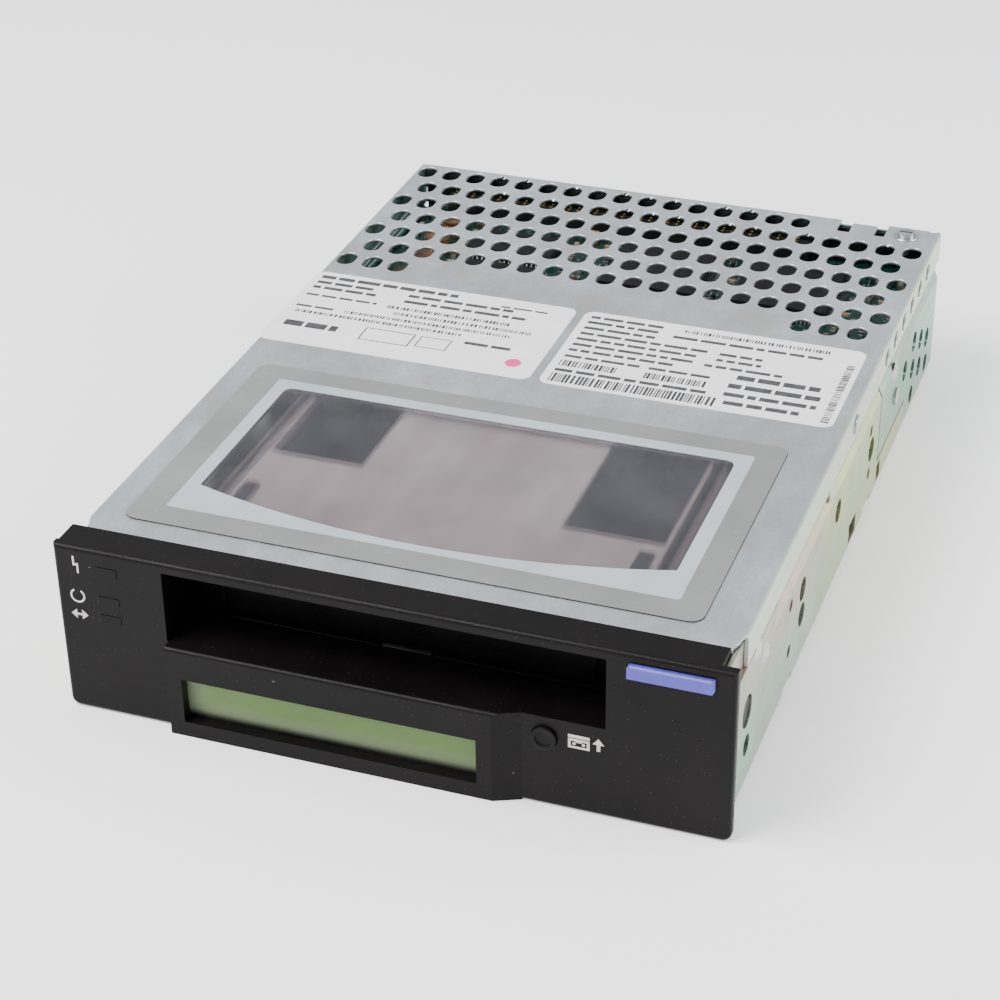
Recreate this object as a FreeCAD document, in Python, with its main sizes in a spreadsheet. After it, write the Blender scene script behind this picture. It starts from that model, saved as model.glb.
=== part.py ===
import FreeCAD, Part
import math
import operator
import os
import Sketcher
from FreeCAD import Placement, Rotation, Vector

# An internal 8 mm helical-scan tape drive for a half-height 5.25-inch bay.
# The origin is on the centre line, at the plane where the bezel meets the chassis, level with
# the underside of the chassis. +X is to the right seen from the front, +Y goes into the bay
# and +Z is up. All sizes are in millimetres and angles in degrees.

os.makedirs("parts", exist_ok=True)
doc = FreeCAD.newDocument("TapeDrive")
sheet = doc.addObject("Spreadsheet::Sheet", "Sizes")

SIZES = {
    # chassis
    "bay_width": 146.05,
    "bay_depth": 203.2,
    "chassis_height": 38.4,
    "frame_sheet": 1.0,
    "cover_sheet": 0.8,
    "bend_radius": 1.2,
    "seam_gap": 0.1,
    "joggle_low": 25.5,
    "joggle_rise": 2.0,
    "joggle_start": 28.0,
    "flange_edge": 31.0,
    "shield_start": 133.0,
    "shield_gap": 0.7,
    "lip_height": 7.5,
    "lip_end": 165.0,
    "front_reach": 6.0,
    # mounting holes, set by the bay standard
    "side_hole_first": 43.5,
    "side_hole_spacing": 79.25,
    "side_hole_low": 10.0,
    "side_hole_high": 21.8,
    "bottom_hole_width": 139.7,
    "mount_hole_radius": 1.5,
    "mount_collar_radius": 2.4,
    "mount_collar_length": 0.8,
    # top cover
    "vent_width": 4.9,
    "vent_length": 7.0,
    "vent_corner": 1.5,
    "vent_pitch": 7.05,
    "vent_row_pitch": 9.61,
    "vent_side_margin": 3.805,
    "vent_rear_margin": 5.9,
    "flange_vent_width": 5.2,
    "flange_vent_height": 4.4,
    "window_left": 55.5,
    "window_right": 53.0,
    "window_front": 24.0,
    "window_rear": 70.5,
    "window_bulge": 8.0,
    "window_corner": 2.0,
    "film_left": 66.0,
    "film_right": 63.0,
    "film_front": 6.8,
    "film_rear": 80.0,
    "film_sheet": 0.25,
    "film_corner": 3.0,
    "rear_flange_drop": 7.0,
    "rear_flange_end": 46.5,
    "rear_tab_left": 59.3,
    "rear_tab_right": 70.0,
    "rear_notch": 8.0,
    "low_tab_left": 50.0,
    "low_tab_right": 56.5,
    "low_tab_back": 2.2,
    # bezel
    "bezel_width": 149.2,
    "bezel_height": 41.66,
    "bezel_drop": 2.6,
    "bezel_depth": 8.4,
    "bezel_wall": 2.2,
    "bezel_rim": 1.6,
    "bezel_corner": 2.0,
    "bezel_edge": 1.0,
    "slot_centre": 0.65,
    "slot_width": 97.3,
    "slot_height": 17.1,
    "slot_floor": 19.6,
    "throat_wall": 1.4,
    "throat_reach": 4.6,
    "ear_reach": 9.4,
    "ear_low": 15.0,
    "housing_left": 49.0,
    "housing_right": 24.4,
    "housing_foot": 30.1,
    "housing_reach": 2.5,
    "housing_round": 0.9,
    "display_left": 45.5,
    "display_right": 21.0,
    "display_low": 1.1,
    "display_high": 12.1,
    "display_recess": 2.4,
    "lens_thick": 1.2,
    "lens_lap": 1.0,
    "module_thick": 4.0,
    "light_width": 5.0,
    "light_height": 2.1,
    "light_centre": 62.3,
    "light_top": 34.2,
    "light_middle": 26.8,
    "light_bottom": 22.2,
    "strip_left": 52.3,
    "strip_right": 70.3,
    "strip_low": 33.4,
    "strip_high": 36.9,
    "strip_slant": 0.5,
    "strip_thick": 0.6,
    "button_x": 35.0,
    "button_z": 14.6,
    "button_radius": 2.75,
    "button_proud": 0.7,
    "button_travel": 0.8,
    "board_thick": 1.6,
    "front_board_gap": 0.4,
    "clip_low": 15.0,
    "clip_high": 23.0,
    "clip_reach": 11.5,
    "clip_thick": 1.4,
    # cartridge and door
    "cartridge_width": 95.0,
    "cartridge_depth": 62.5,
    "cartridge_height": 15.0,
    "cartridge_low": 20.2,
    "door_front": 6.2,
    "door_thick": 1.6,
    "door_pivot": 17.2,
    "door_gap": 0.5,
    "door_end_gap": 1.25,
    "pin_radius": 0.8,
    "door_barrel": 1.5,
    # loader
    "basket_front": 11.0,
    "basket_sheet": 0.8,
    "basket_clear": 0.3,
    "basket_lip": 8.0,
    "basket_drop": 8.8,
    "lip_front": 27.5,
    "basket_top_front": 14.0,
    "tongue_left": 26.0,
    "tongue_right": 24.0,
    "left_notch": 45.0,
    "right_notch": 35.0,
    "plate_gap": 2.2,
    "plate_sheet": 1.0,
    "plate_front": 10.4,
    "plate_rear": 78.0,
    "plate_top": 34.5,
    "cam_gap": 0.3,
    "cam_travel": 14.0,
    "cam_top": 32.0,
    "cam_low": 12.0,
    "follower_radius": 1.1,
    "follower_height": 28.0,
    "front_follower": 24.0,
    "rear_follower": 62.0,
    "slot_clear": 0.15,
    "cross_bar_low": 8.3,
    "cross_bar_sheet": 1.2,
    "rack_shelf_front": 73.0,
    "rack_front": 77.0,
    "rack_rear": 101.0,
    "rack_sheet": 1.8,
    "rack_reach": 2.0,
    "loader_gear_y": 96.0,
    # gears
    "gear_module": 0.8,
    "gear_teeth": 16,
    "pinion_teeth": 10,
    "ring_teeth": 76,
    "gear_thick": 1.8,
    "gear_backlash": 0.24,
    "pivot_radius": 1.2,
    "running_gap": 0.05,
    # deck
    "deck_low": 2.6,
    "deck_under": 5.0,
    "deck_top": 7.5,
    "deck_front": 14.0,
    "deck_rear": 118.0,
    "deck_left": 70.0,
    "deck_right": 68.0,
    "deck_rib": 1.8,
    "lobe_width": 62.0,
    "lobe_rear": 148.0,
    "mount_pad_radius": 4.0,
    "mount_inset": 8.0,
    "mount_edge": 6.0,
    "motor_radius": 5.5,
    # reels
    "reel_spacing": 46.2,
    "reel_y": 42.5,
    "turntable_radius": 9.5,
    "turntable_low": 8.2,
    "turntable_thick": 1.2,
    "spindle_radius": 3.2,
    "spindle_height": 7.6,
    "reel_shaft": 1.5,
    "bush_radius": 3.0,
    "rotor_radius": 14.0,
    "rotor_low": 1.7,
    "rotor_thick": 1.6,
    "stator_thick": 1.2,
    # helical-scan drum
    "drum_y": 95.0,
    "drum_radius": 20.0,
    "drum_tilt": 4.9,
    "drum_flange": 21.2,
    "lower_drum": 7.0,
    "drum_gap": 0.35,
    "upper_drum": 8.5,
    "drum_shaft": 2.5,
    "drum_rotor": 14.0,
    "drum_rotor_thick": 3.0,
    "ring_inner": 27.0,
    # threading rings and trolleys
    "ring_thick": 1.3,
    "ring_float": 0.3,
    "ring_swing": 115.0,
    "trolley_radius": 24.2,
    "trolley_start": 20.0,
    "trolley_top": 25.0,
    "roller_radius": 2.3,
    "guide_spread": 36.5,
    "guide_y": 82.0,
    # boards
    "controller_low": 27.0,
    "controller_front": 131.5,
    "board_margin": 5.5,
    "interface_low": 5.0,
    "interface_front": 151.0,
    "board_rear": 4.0,
    # screws
    "screw_radius": 1.25,
    "screw_head": 2.3,
    "screw_head_thick": 1.3,
    "cover_screw_x": 64.7,
    "flange_screw_y": 102.5,
    "flange_screw_z": 34.6,
    "shield_screw_y": 152.0,
    "shield_screw_z": 16.0,
}
for row, (alias, number) in enumerate(SIZES.items(), start=1):
    sheet.set(f"A{row}", str(number))
    sheet.setAlias(f"A{row}", alias)
doc.recompute()


class Dim:
    """A size that keeps its sheet expression beside its number."""

    def __init__(self, text, value):
        self.text = text
        self.value = value

    def __add__(self, other):
        return combine(self, "+", other)

    def __radd__(self, other):
        return combine(other, "+", self)

    def __sub__(self, other):
        return combine(self, "-", other)

    def __rsub__(self, other):
        return combine(other, "-", self)

    def __mul__(self, other):
        return combine(self, "*", other)

    def __rmul__(self, other):
        return combine(other, "*", self)

    def __truediv__(self, other):
        return combine(self, "/", other)

    def __neg__(self):
        return combine(0, "-", self)


SIGNS = {"+": operator.add, "-": operator.sub, "*": operator.mul, "/": operator.truediv}


def dim(size):
    return size if isinstance(size, Dim) else Dim(f"({size})", size)


def combine(left, sign, right):
    left = dim(left)
    right = dim(right)
    return Dim(f"({left.text} {sign} {right.text})", SIGNS[sign](left.value, right.value))


def cosine(angle):
    angle = dim(angle)
    return Dim(f"cos({angle.text})", math.cos(math.radians(angle.value)))


def sine(angle):
    angle = dim(angle)
    return Dim(f"sin({angle.text})", math.sin(math.radians(angle.value)))


class Sheet:
    """The sheet's sizes by name, each as a Dim."""

    def __getattr__(self, alias):
        return Dim(f"Sizes.{alias}", SIZES[alias])


s = Sheet()
pieces = []
pockets = []


def bind(item, field, size):
    item.setExpression(field, dim(size).text)


# ---- Part primitives ------------------------------------------------------------------------


def place(item, at, turn=None):
    item.Placement = Placement(Vector(*(dim(c).value for c in at)), turn or Rotation())
    for axis, where in zip("xyz", at):
        bind(item, f"Placement.Base.{axis}", where)
    return item


def block(across, along, up):
    """A box between two places on each axis."""
    item = doc.addObject("Part::Box", "Block")
    for field, (low, high) in zip(("Length", "Width", "Height"), (across, along, up)):
        bind(item, field, dim(high) - low)
    return place(item, (across[0], along[0], up[0]))


TURNS = {"x": Rotation(Vector(0, 1, 0), 90), "y": Rotation(Vector(1, 0, 0), -90), "z": Rotation()}


def rod(radius, start, length, axis="z"):
    """A round bar from start, running up its axis."""
    item = doc.addObject("Part::Cylinder", "Rod")
    bind(item, "Radius", radius)
    bind(item, "Height", length)
    return place(item, start, TURNS[axis])


def fuse(*items):
    item = doc.addObject("Part::MultiFuse", "Fuse")
    item.Shapes = list(items)
    return item


def group(*items):
    item = doc.addObject("Part::Compound", "Group")
    item.Links = list(items)
    return item


def cut(base, *tools):
    item = doc.addObject("Part::Cut", "Cut")
    item.Base = base
    item.Tool = tools[0] if len(tools) == 1 else fuse(*tools)
    return item


def piece(label, item):
    item.Label = label
    pieces.append(item)
    return item


# ---- PartDesign bodies ----------------------------------------------------------------------

# Each plane's own normal runs along +Z, -Y or +X, so a length on XZ is measured against it.
PLANES = {"XY": 1, "XZ": -1, "YZ": 1}


def body(label):
    return piece(label, doc.addObject("PartDesign::Body", "Body"))


def sketch(owner, plane, at):
    item = owner.newObject("Sketcher::SketchObject", "Sketch")
    base = next(f for f in owner.Origin.OriginFeatures if f.Role == plane + "_Plane")
    item.AttachmentSupport = [(base, "")]
    item.MapMode = "FlatFace"
    offset = dim(at) * PLANES[plane]
    item.AttachmentOffset = Placement(Vector(0, 0, offset.value), Rotation())
    bind(item, "AttachmentOffset.Base.z", offset)
    return item


def fix_point(drawing, edge, end, point):
    for kind, where in zip(("DistanceX", "DistanceY"), point):
        where = dim(where)
        index = drawing.addConstraint(Sketcher.Constraint(kind, -1, 1, edge, end, where.value))
        bind(drawing, f"Constraints[{index}]", where)


def draw_outline(drawing, corners):
    """A closed outline of straight lines whose corners are all tied to the sheet."""
    first = drawing.GeometryCount
    ends = corners[1:] + corners[:1]
    for start, end in zip(corners, ends):
        points = (Vector(dim(u).value, dim(v).value, 0) for u, v in (start, end))
        drawing.addGeometry(Part.LineSegment(*points))
    for index, corner in enumerate(corners):
        following = first + (index + 1) % len(corners)
        drawing.addConstraint(Sketcher.Constraint("Coincident", first + index, 2, following, 1))
        fix_point(drawing, first + index, 1, corner)


def draw_circle(drawing, centre, radius):
    middle = Vector(dim(centre[0]).value, dim(centre[1]).value, 0)
    edge = drawing.addGeometry(Part.Circle(middle, Vector(0, 0, 1), dim(radius).value))
    fix_point(drawing, edge, 3, centre)
    index = drawing.addConstraint(Sketcher.Constraint("Radius", edge, dim(radius).value))
    bind(drawing, f"Constraints[{index}]", radius)


def rectangle(low, high):
    return [(low[0], low[1]), (high[0], low[1]), (high[0], high[1]), (low[0], high[1])]


def cut_corners(low, high, corner):
    """A rectangle with its four corners cut off at 45 degrees."""
    (u0, v0), (u1, v1) = low, high
    near_u, far_u = dim(u0) + corner, dim(u1) - corner
    near_v, far_v = dim(v0) + corner, dim(v1) - corner
    return [(near_u, v0), (far_u, v0), (u1, near_v), (u1, far_v),
            (far_u, v1), (near_u, v1), (u0, far_v), (u0, near_v)]


def draw(owner, plane, at, outlines, circles):
    drawing = sketch(owner, plane, at)
    for corners in outlines:
        draw_outline(drawing, corners)
    for centre, radius in circles:
        draw_circle(drawing, centre, radius)
    return drawing


def pad(owner, plane, at, length, outlines=(), circles=()):
    """Material from a plane at `at`, growing up the plane's axis."""
    item = owner.newObject("PartDesign::Pad", "Pad")
    item.Profile = draw(owner, plane, at, outlines, circles)
    item.Reversed = PLANES[plane] < 0
    bind(item, "Length", length)
    return item


def pocket(owner, plane, at, length, outlines=(), circles=()):
    """A cut from a plane at `at`, going up the plane's axis."""
    item = owner.newObject("PartDesign::Pocket", "Pocket")
    item.Profile = draw(owner, plane, at, outlines, circles)
    item.Reversed = PLANES[plane] > 0
    bind(item, "Length", length)
    pockets.append(item)
    return item


def repeat(owner, feature, rows):
    """Repeats a feature; each row is (sketch axis, spacing, count, reversed)."""
    item = owner.newObject("PartDesign::MultiTransform", "Pattern")
    steps = []
    for axis, spacing, count, backwards in rows:
        step = doc.addObject("PartDesign::LinearPattern", "Row")
        owner.addObject(step)
        step.Direction = (feature.Profile[0], [axis])
        step.Occurrences = count
        step.Reversed = backwards
        bind(step, "Length", dim(spacing) * (count - 1))
        steps.append(step)
    item.Originals = [feature]
    item.Transformations = steps
    item.Refine = False
    owner.Tip = item
    return item


def straight_edges(shape, axis, spots):
    """Names of the edges along an axis that pass through one of the given spots."""
    across = [i for i in range(3) if i != "xyz".index(axis)]
    names = []
    for number, edge in enumerate(shape.Edges, start=1):
        ends = [v.Point for v in edge.Vertexes]
        for spot in spots:
            gaps = (abs(p[i] - dim(c).value) for p in ends for i, c in zip(across, spot))
            if len(ends) == 2 and max(gaps) < 0.01:
                names.append(f"Edge{number}")
                break
    return names


def round_edges(owner, axis, spots, radius):
    """Rounds the edges along an axis at the given spots of the body's last feature."""
    doc.recompute()
    base = owner.Tip
    names = straight_edges(base.Shape, axis, spots)
    if not names:
        raise ValueError(f"{owner.Label}: no edge to round at {spots}")
    item = owner.newObject("PartDesign::Fillet", "Fillet")
    item.Base = (base, names)
    bind(item, "Radius", radius)
    return item


def round_face(owner, axis, at, radius):
    """Rounds every edge round the flat face that stands at a place on an axis."""
    doc.recompute()
    base = owner.Tip
    index = "xyz".index(axis)
    names = []
    for number, edge in enumerate(base.Shape.Edges, start=1):
        if all(abs(v.Point[index] - dim(at).value) < 0.01 for v in edge.Vertexes):
            names.append(f"Edge{number}")
    item = owner.newObject("PartDesign::Fillet", "Fillet")
    item.Base = (base, names)
    bind(item, "Radius", radius)
    return item


# ---- places that several pieces share -------------------------------------------------------

half = s.bay_width / 2
cover_under = s.chassis_height - s.cover_sheet
upper_wall = half - s.cover_sheet - s.seam_gap
frame_top = cover_under - 0.4
middle = -s.slot_centre
face = -s.bezel_depth
slot_left = middle - s.slot_width / 2
slot_right = middle + s.slot_width / 2
slot_top = s.slot_floor + s.slot_height
side_holes = [(y, z) for y in (s.side_hole_first, s.side_hole_first + s.side_hole_spacing)
              for z in (s.side_hole_low, s.side_hole_high)]
bottom_holes = [(x, y) for x in (-s.bottom_hole_width / 2, s.bottom_hole_width / 2)
                for y in (s.side_hole_first, s.side_hole_first + s.side_hole_spacing)]
wing_start = s.shield_start + s.shield_gap
shield_back = s.bay_depth - s.cover_sheet - s.seam_gap


# ---- chassis ---------------------------------------------------------------------------------


def folded_side(outer, sheet_thick, foot):
    """Section of one folded side wall: plain, then stepped in under the cover's flange."""
    step = s.cover_sheet + s.seam_gap
    knee = s.joggle_low + s.joggle_rise
    return [(outer, foot), (outer, s.joggle_low), (outer - step, knee), (outer - step, frame_top),
            (outer - step - sheet_thick, frame_top), (outer - step - sheet_thick, knee),
            (outer - sheet_thick, s.joggle_low)]


def mirrored(corners):
    return [(-dim(x), z) for x, z in reversed(corners)]


def make_base_frame():
    """One folded steel sheet: floor, two sides, a step under the cover's flanges."""
    frame = body("base_frame")
    right = folded_side(half, s.frame_sheet, 0) + [(half - s.frame_sheet, s.frame_sheet)]
    left = mirrored(folded_side(half, s.frame_sheet, 0))
    section = right + [(-half + s.frame_sheet, s.frame_sheet)] + left
    pad(frame, "XZ", -s.front_reach, s.bay_depth - s.board_rear + s.front_reach, [section])
    display_notch = rectangle((-s.display_left - s.lens_lap - 0.5, -s.front_reach - 1),
                              (s.display_right + s.lens_lap + 0.5, board_front + 0.2))
    pocket(frame, "XY", -1, s.frame_sheet + 2, [display_notch])
    inner = half - s.frame_sheet
    round_edges(frame, "y", [(half, 0), (-half, 0)], s.bend_radius)
    patch = [(-s.front_reach, s.joggle_low), (s.joggle_start, s.joggle_low),
             (s.joggle_start + s.joggle_rise * 2, s.flange_edge - 0.3),
             (-s.front_reach, s.flange_edge - 0.3)]
    for start in (upper_wall, -half):
        pad(frame, "YZ", start, s.cover_sheet + s.seam_gap, [patch])
    high_cut = [(s.shield_start, s.lip_height), (s.bay_depth, s.lip_height),
                (s.bay_depth, s.chassis_height), (s.shield_start, s.chassis_height)]
    low_cut = rectangle((s.lip_end, s.frame_sheet), (s.bay_depth, s.lip_height + 1))
    pocket(frame, "YZ", -half - 1, s.bay_width + 2, [high_cut, low_cut])
    make_side_holes(frame, inner)
    floor_holes = [((x, y), s.mount_hole_radius) for x, y in bottom_holes]
    deck_holes = [(spot, s.screw_radius + 0.3) for spot in deck_mounts]
    pocket(frame, "XY", -1, s.frame_sheet + 2, [], floor_holes + deck_holes)
    return frame


def make_side_holes(frame, inner):
    """Clip windows, tooling holes and the standard mounting holes with drawn collars."""
    rounds = [((7.5, 19.0), 3.7), ((7.8, 10.3), 2.4), ((54.6, 19.2), 2.8), ((54.6, 12.5), 2.8),
              ((88.4, 19.4), 2.8), ((124.3, 15.9), 3.1)]
    slots = [rectangle((103.0, 1.6), (110.0, 6.6)), rectangle((133.2, 1.8), (137.2, 6.2))]
    notches = [rectangle((y - 4, -1), (y + 4, 2.2))
               for y in (s.side_hole_first, s.side_hole_first + s.side_hole_spacing)]
    collars = [(spot, s.mount_collar_radius) for spot in side_holes]
    pad(frame, "YZ", inner - s.mount_collar_length, s.mount_collar_length, [], collars)
    pad(frame, "YZ", -inner, s.mount_collar_length, [], collars)
    mounting = [(spot, s.mount_hole_radius) for spot in side_holes]
    pocket(frame, "YZ", -half - 1, s.bay_width + 2, slots, rounds + mounting)
    pocket(frame, "YZ", half - s.frame_sheet, s.frame_sheet + 1, notches)
    pocket(frame, "YZ", -half - 1, s.frame_sheet + 1, notches)
    flange_screws = [((s.flange_screw_y, s.flange_screw_z), s.screw_radius + 0.1)]
    pocket(frame, "YZ", -half - 1, s.bay_width + 2, [], flange_screws)


def make_rear_shield():
    """The folded sheet that closes the rear: a back wall and two wings with round vents."""
    shield = body("rear_shield")
    inner = half - s.cover_sheet
    back = rectangle((-inner + s.bend_radius, s.frame_sheet + 0.1),
                     (inner - s.bend_radius, cover_under - 0.4))
    pad(shield, "XZ", shield_back - s.cover_sheet, s.cover_sheet, [back])
    right = folded_side(half, s.cover_sheet, s.frame_sheet + 0.1)
    right.append((half - s.cover_sheet, s.frame_sheet + 0.1))
    wing = shield_back - wing_start
    pad(shield, "XZ", wing_start, wing, [right])
    pad(shield, "XZ", wing_start, wing, [mirrored(right)])
    for side in (-1, 1):
        web = rectangle((inner - s.bend_radius - 1, s.frame_sheet + 0.1),
                        (inner + 0.2, s.joggle_low))
        if side < 0:
            web = mirrored(web)
        pad(shield, "XZ", shield_back - s.cover_sheet, s.cover_sheet, [web])
    foot = rectangle((wing_start - 1, 0), (s.lip_end, s.lip_height + s.shield_gap))
    pocket(shield, "YZ", -half - 1, s.bay_width + 2, [foot])
    vents = [((163.0, 17.5), 2.7), ((174.0, 20.5), 2.7), ((183.5, 16.5), 2.7),
             ((174.0, 12.5), 2.7), ((192.5, 12.5), 2.7), ((183.5, 8.5), 2.7),
             ((174.5, 4.8), 2.4), ((193.0, 4.8), 2.4)]
    screws = [((s.shield_screw_y, s.shield_screw_z), s.screw_radius + 0.1)]
    pocket(shield, "YZ", -half - 1, s.bay_width + 2, [], vents + screws)
    connector = rectangle((interface_left - 0.5, interface_deck - 0.2),
                          (interface_right + 0.5, interface_deck + 9.4))
    power = rectangle((power_left - 0.5, interface_deck - 0.2),
                      (power_right + 0.5, interface_deck + 11.4))
    jumper = rectangle((jumper_left - 0.5, interface_deck - 0.2),
                       (jumper_right + 0.5, interface_deck + 6.4))
    pocket(shield, "XZ", shield_back - 5, 10, [connector, power, jumper])
    return shield


def make_top_cover():
    """The folded cover: vents in staggered rows, the window opening, flanges and rear tabs."""
    cover = body("top_cover")
    low = s.flange_edge
    top = s.chassis_height
    section = [(-half, low), (-half, top), (half, top), (half, low), (half - s.cover_sheet, low),
               (half - s.cover_sheet, cover_under), (-half + s.cover_sheet, cover_under),
               (-half + s.cover_sheet, low)]
    pad(cover, "XZ", 0, s.bay_depth, [section])
    round_edges(cover, "y", [(half, top), (-half, top)], s.bend_radius)
    back = s.bay_depth - s.cover_sheet
    flange = rectangle((-half + s.bend_radius, top - s.rear_flange_drop),
                       (s.rear_flange_end, cover_under))
    tab = rectangle((s.rear_tab_left, top - s.rear_flange_drop), (s.rear_tab_right, cover_under))
    pad(cover, "XZ", back, s.cover_sheet, [flange])
    pad(cover, "XZ", back, s.cover_sheet, [tab])
    notch_front = s.bay_depth - s.rear_notch
    lowered = s.bay_depth - s.low_tab_back
    rear_notches = [
        rectangle((s.rear_flange_end + 0.6, notch_front), (s.low_tab_left, s.bay_depth + 1)),
        rectangle((s.low_tab_left - 0.01, lowered), (s.low_tab_right + 0.01, s.bay_depth + 1)),
        rectangle((s.low_tab_right, notch_front), (s.rear_tab_left, s.bay_depth + 1)),
    ]
    for outline in rear_notches:
        pocket(cover, "XY", cover_under - 1, s.cover_sheet + 2, [outline])
    relief = [[(side * (half + 1), -1), (side * (half + 1), 6), (side * (half - 1.9), -1)]
              for side in (-1, 1)]
    for corner in relief:
        pocket(cover, "XY", cover_under - 3, 6, [corner])
    make_window_opening(cover)
    make_flange_details(cover)
    make_vents(cover)
    return cover


def make_window_opening(cover):
    """The opening under the film, with a front edge that bulges forward in an arc."""
    drawing = sketch(cover, "XY", cover_under - 1)
    left = -s.window_left
    right = s.window_right
    corners = [(right, s.window_front), (right, s.window_rear), (left, s.window_rear),
               (left, s.window_front)]
    for start, end in zip(corners, corners[1:]):
        points = (Vector(dim(u).value, dim(v).value, 0) for u, v in (start, end))
        drawing.addGeometry(Part.LineSegment(*points))
    bulge = Vector(((left + right) / 2).value, (s.window_front - s.window_bulge).value, 0)
    ends = [Vector(dim(u).value, dim(v).value, 0) for u, v in (corners[3], corners[0])]
    drawing.addGeometry(Part.Arc(ends[0], bulge, ends[1]))
    for edge in range(3):
        fix_point(drawing, edge, 1, corners[edge])
    fix_point(drawing, 2, 2, corners[3])
    for first, second in ((0, 1), (1, 2)):
        drawing.addConstraint(Sketcher.Constraint("Coincident", first, 2, second, 1))
    arc_ends = {1: (2, 2), 2: (0, 1)}
    if drawing.Geometry[3].StartPoint.distanceToPoint(ends[0]) > 1:
        arc_ends = {1: (0, 1), 2: (2, 2)}
    for end, (edge, other) in arc_ends.items():
        drawing.addConstraint(Sketcher.Constraint("Coincident", 3, end, edge, other))
    chord = right - left
    radius = chord * chord / (8 * s.window_bulge) + s.window_bulge / 2
    index = drawing.addConstraint(Sketcher.Constraint("Radius", 3, radius.value))
    bind(drawing, f"Constraints[{index}]", radius)
    item = cover.newObject("PartDesign::Pocket", "Window")
    item.Profile = drawing
    item.Reversed = True
    bind(item, "Length", s.cover_sheet + 2)
    pockets.append(item)
    round_edges(cover, "z", [(left, s.window_rear), (right, s.window_rear)], s.window_corner)


def make_vents(cover):
    """Seven staggered rows; the last is only three vents at each end, the first stops short."""
    depth = s.cover_sheet + 2
    start_x = -half + s.vent_side_margin
    stagger = s.vent_pitch / 2
    first_y = s.bay_depth - s.vent_rear_margin
    across = 20

    def vent(column_x, row):
        y = first_y - s.vent_row_pitch * row
        outline = cut_corners((column_x - s.vent_width / 2, y - s.vent_length / 2),
                              (column_x + s.vent_width / 2, y + s.vent_length / 2), s.vent_corner)
        return pocket(cover, "XY", cover_under - 1, depth, [outline])

    pitch = s.vent_pitch
    double = s.vent_row_pitch * 2
    screw = [((s.cover_screw_x, first_y), s.screw_radius + 0.1)]
    pocket(cover, "XY", cover_under - 1, depth, [], screw)
    repeat(cover, vent(start_x, 0), [("H_Axis", pitch, 16, False)])
    repeat(cover, vent(start_x + stagger, 1),
           [("H_Axis", pitch, across, False), ("V_Axis", double, 3, True)])
    repeat(cover, vent(start_x, 2),
           [("H_Axis", pitch, across, False), ("V_Axis", double, 2, True)])
    repeat(cover, vent(start_x, 6),
           [("H_Axis", pitch, 3, False), ("H_Axis", pitch * 17, 2, False)])


def make_flange_details(cover):
    """Both side flanges: six vents, a screw hole and a notch at the front."""
    mid = s.flange_screw_z
    tall = s.flange_vent_height / 2
    wide = s.flange_vent_width / 2
    vents = [cut_corners((y - wide, mid - tall), (y + wide, mid + tall), 1.2)
             for y in (137.0, 146.8, 156.6, 166.4, 176.2, 186.0)]
    notch = rectangle((5.5, s.flange_edge - 1), (8.5, s.flange_edge + 3.6))
    slit = rectangle((29.0, 32.0), (33.5, 33.0))
    holes = [((s.flange_screw_y, mid), s.screw_radius + 0.1)]
    pocket(cover, "YZ", -half - 1, s.bay_width + 2, vents + [notch, slit], holes)


def make_window_film():
    film = body("window_film")
    outline = rectangle((-s.film_left, s.film_front), (s.film_right, s.film_rear))
    pad(film, "XY", s.chassis_height, s.film_sheet, [outline])
    round_edges(film, "z", outline, s.film_corner)
    return film


# ---- front bezel -----------------------------------------------------------------------------


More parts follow.
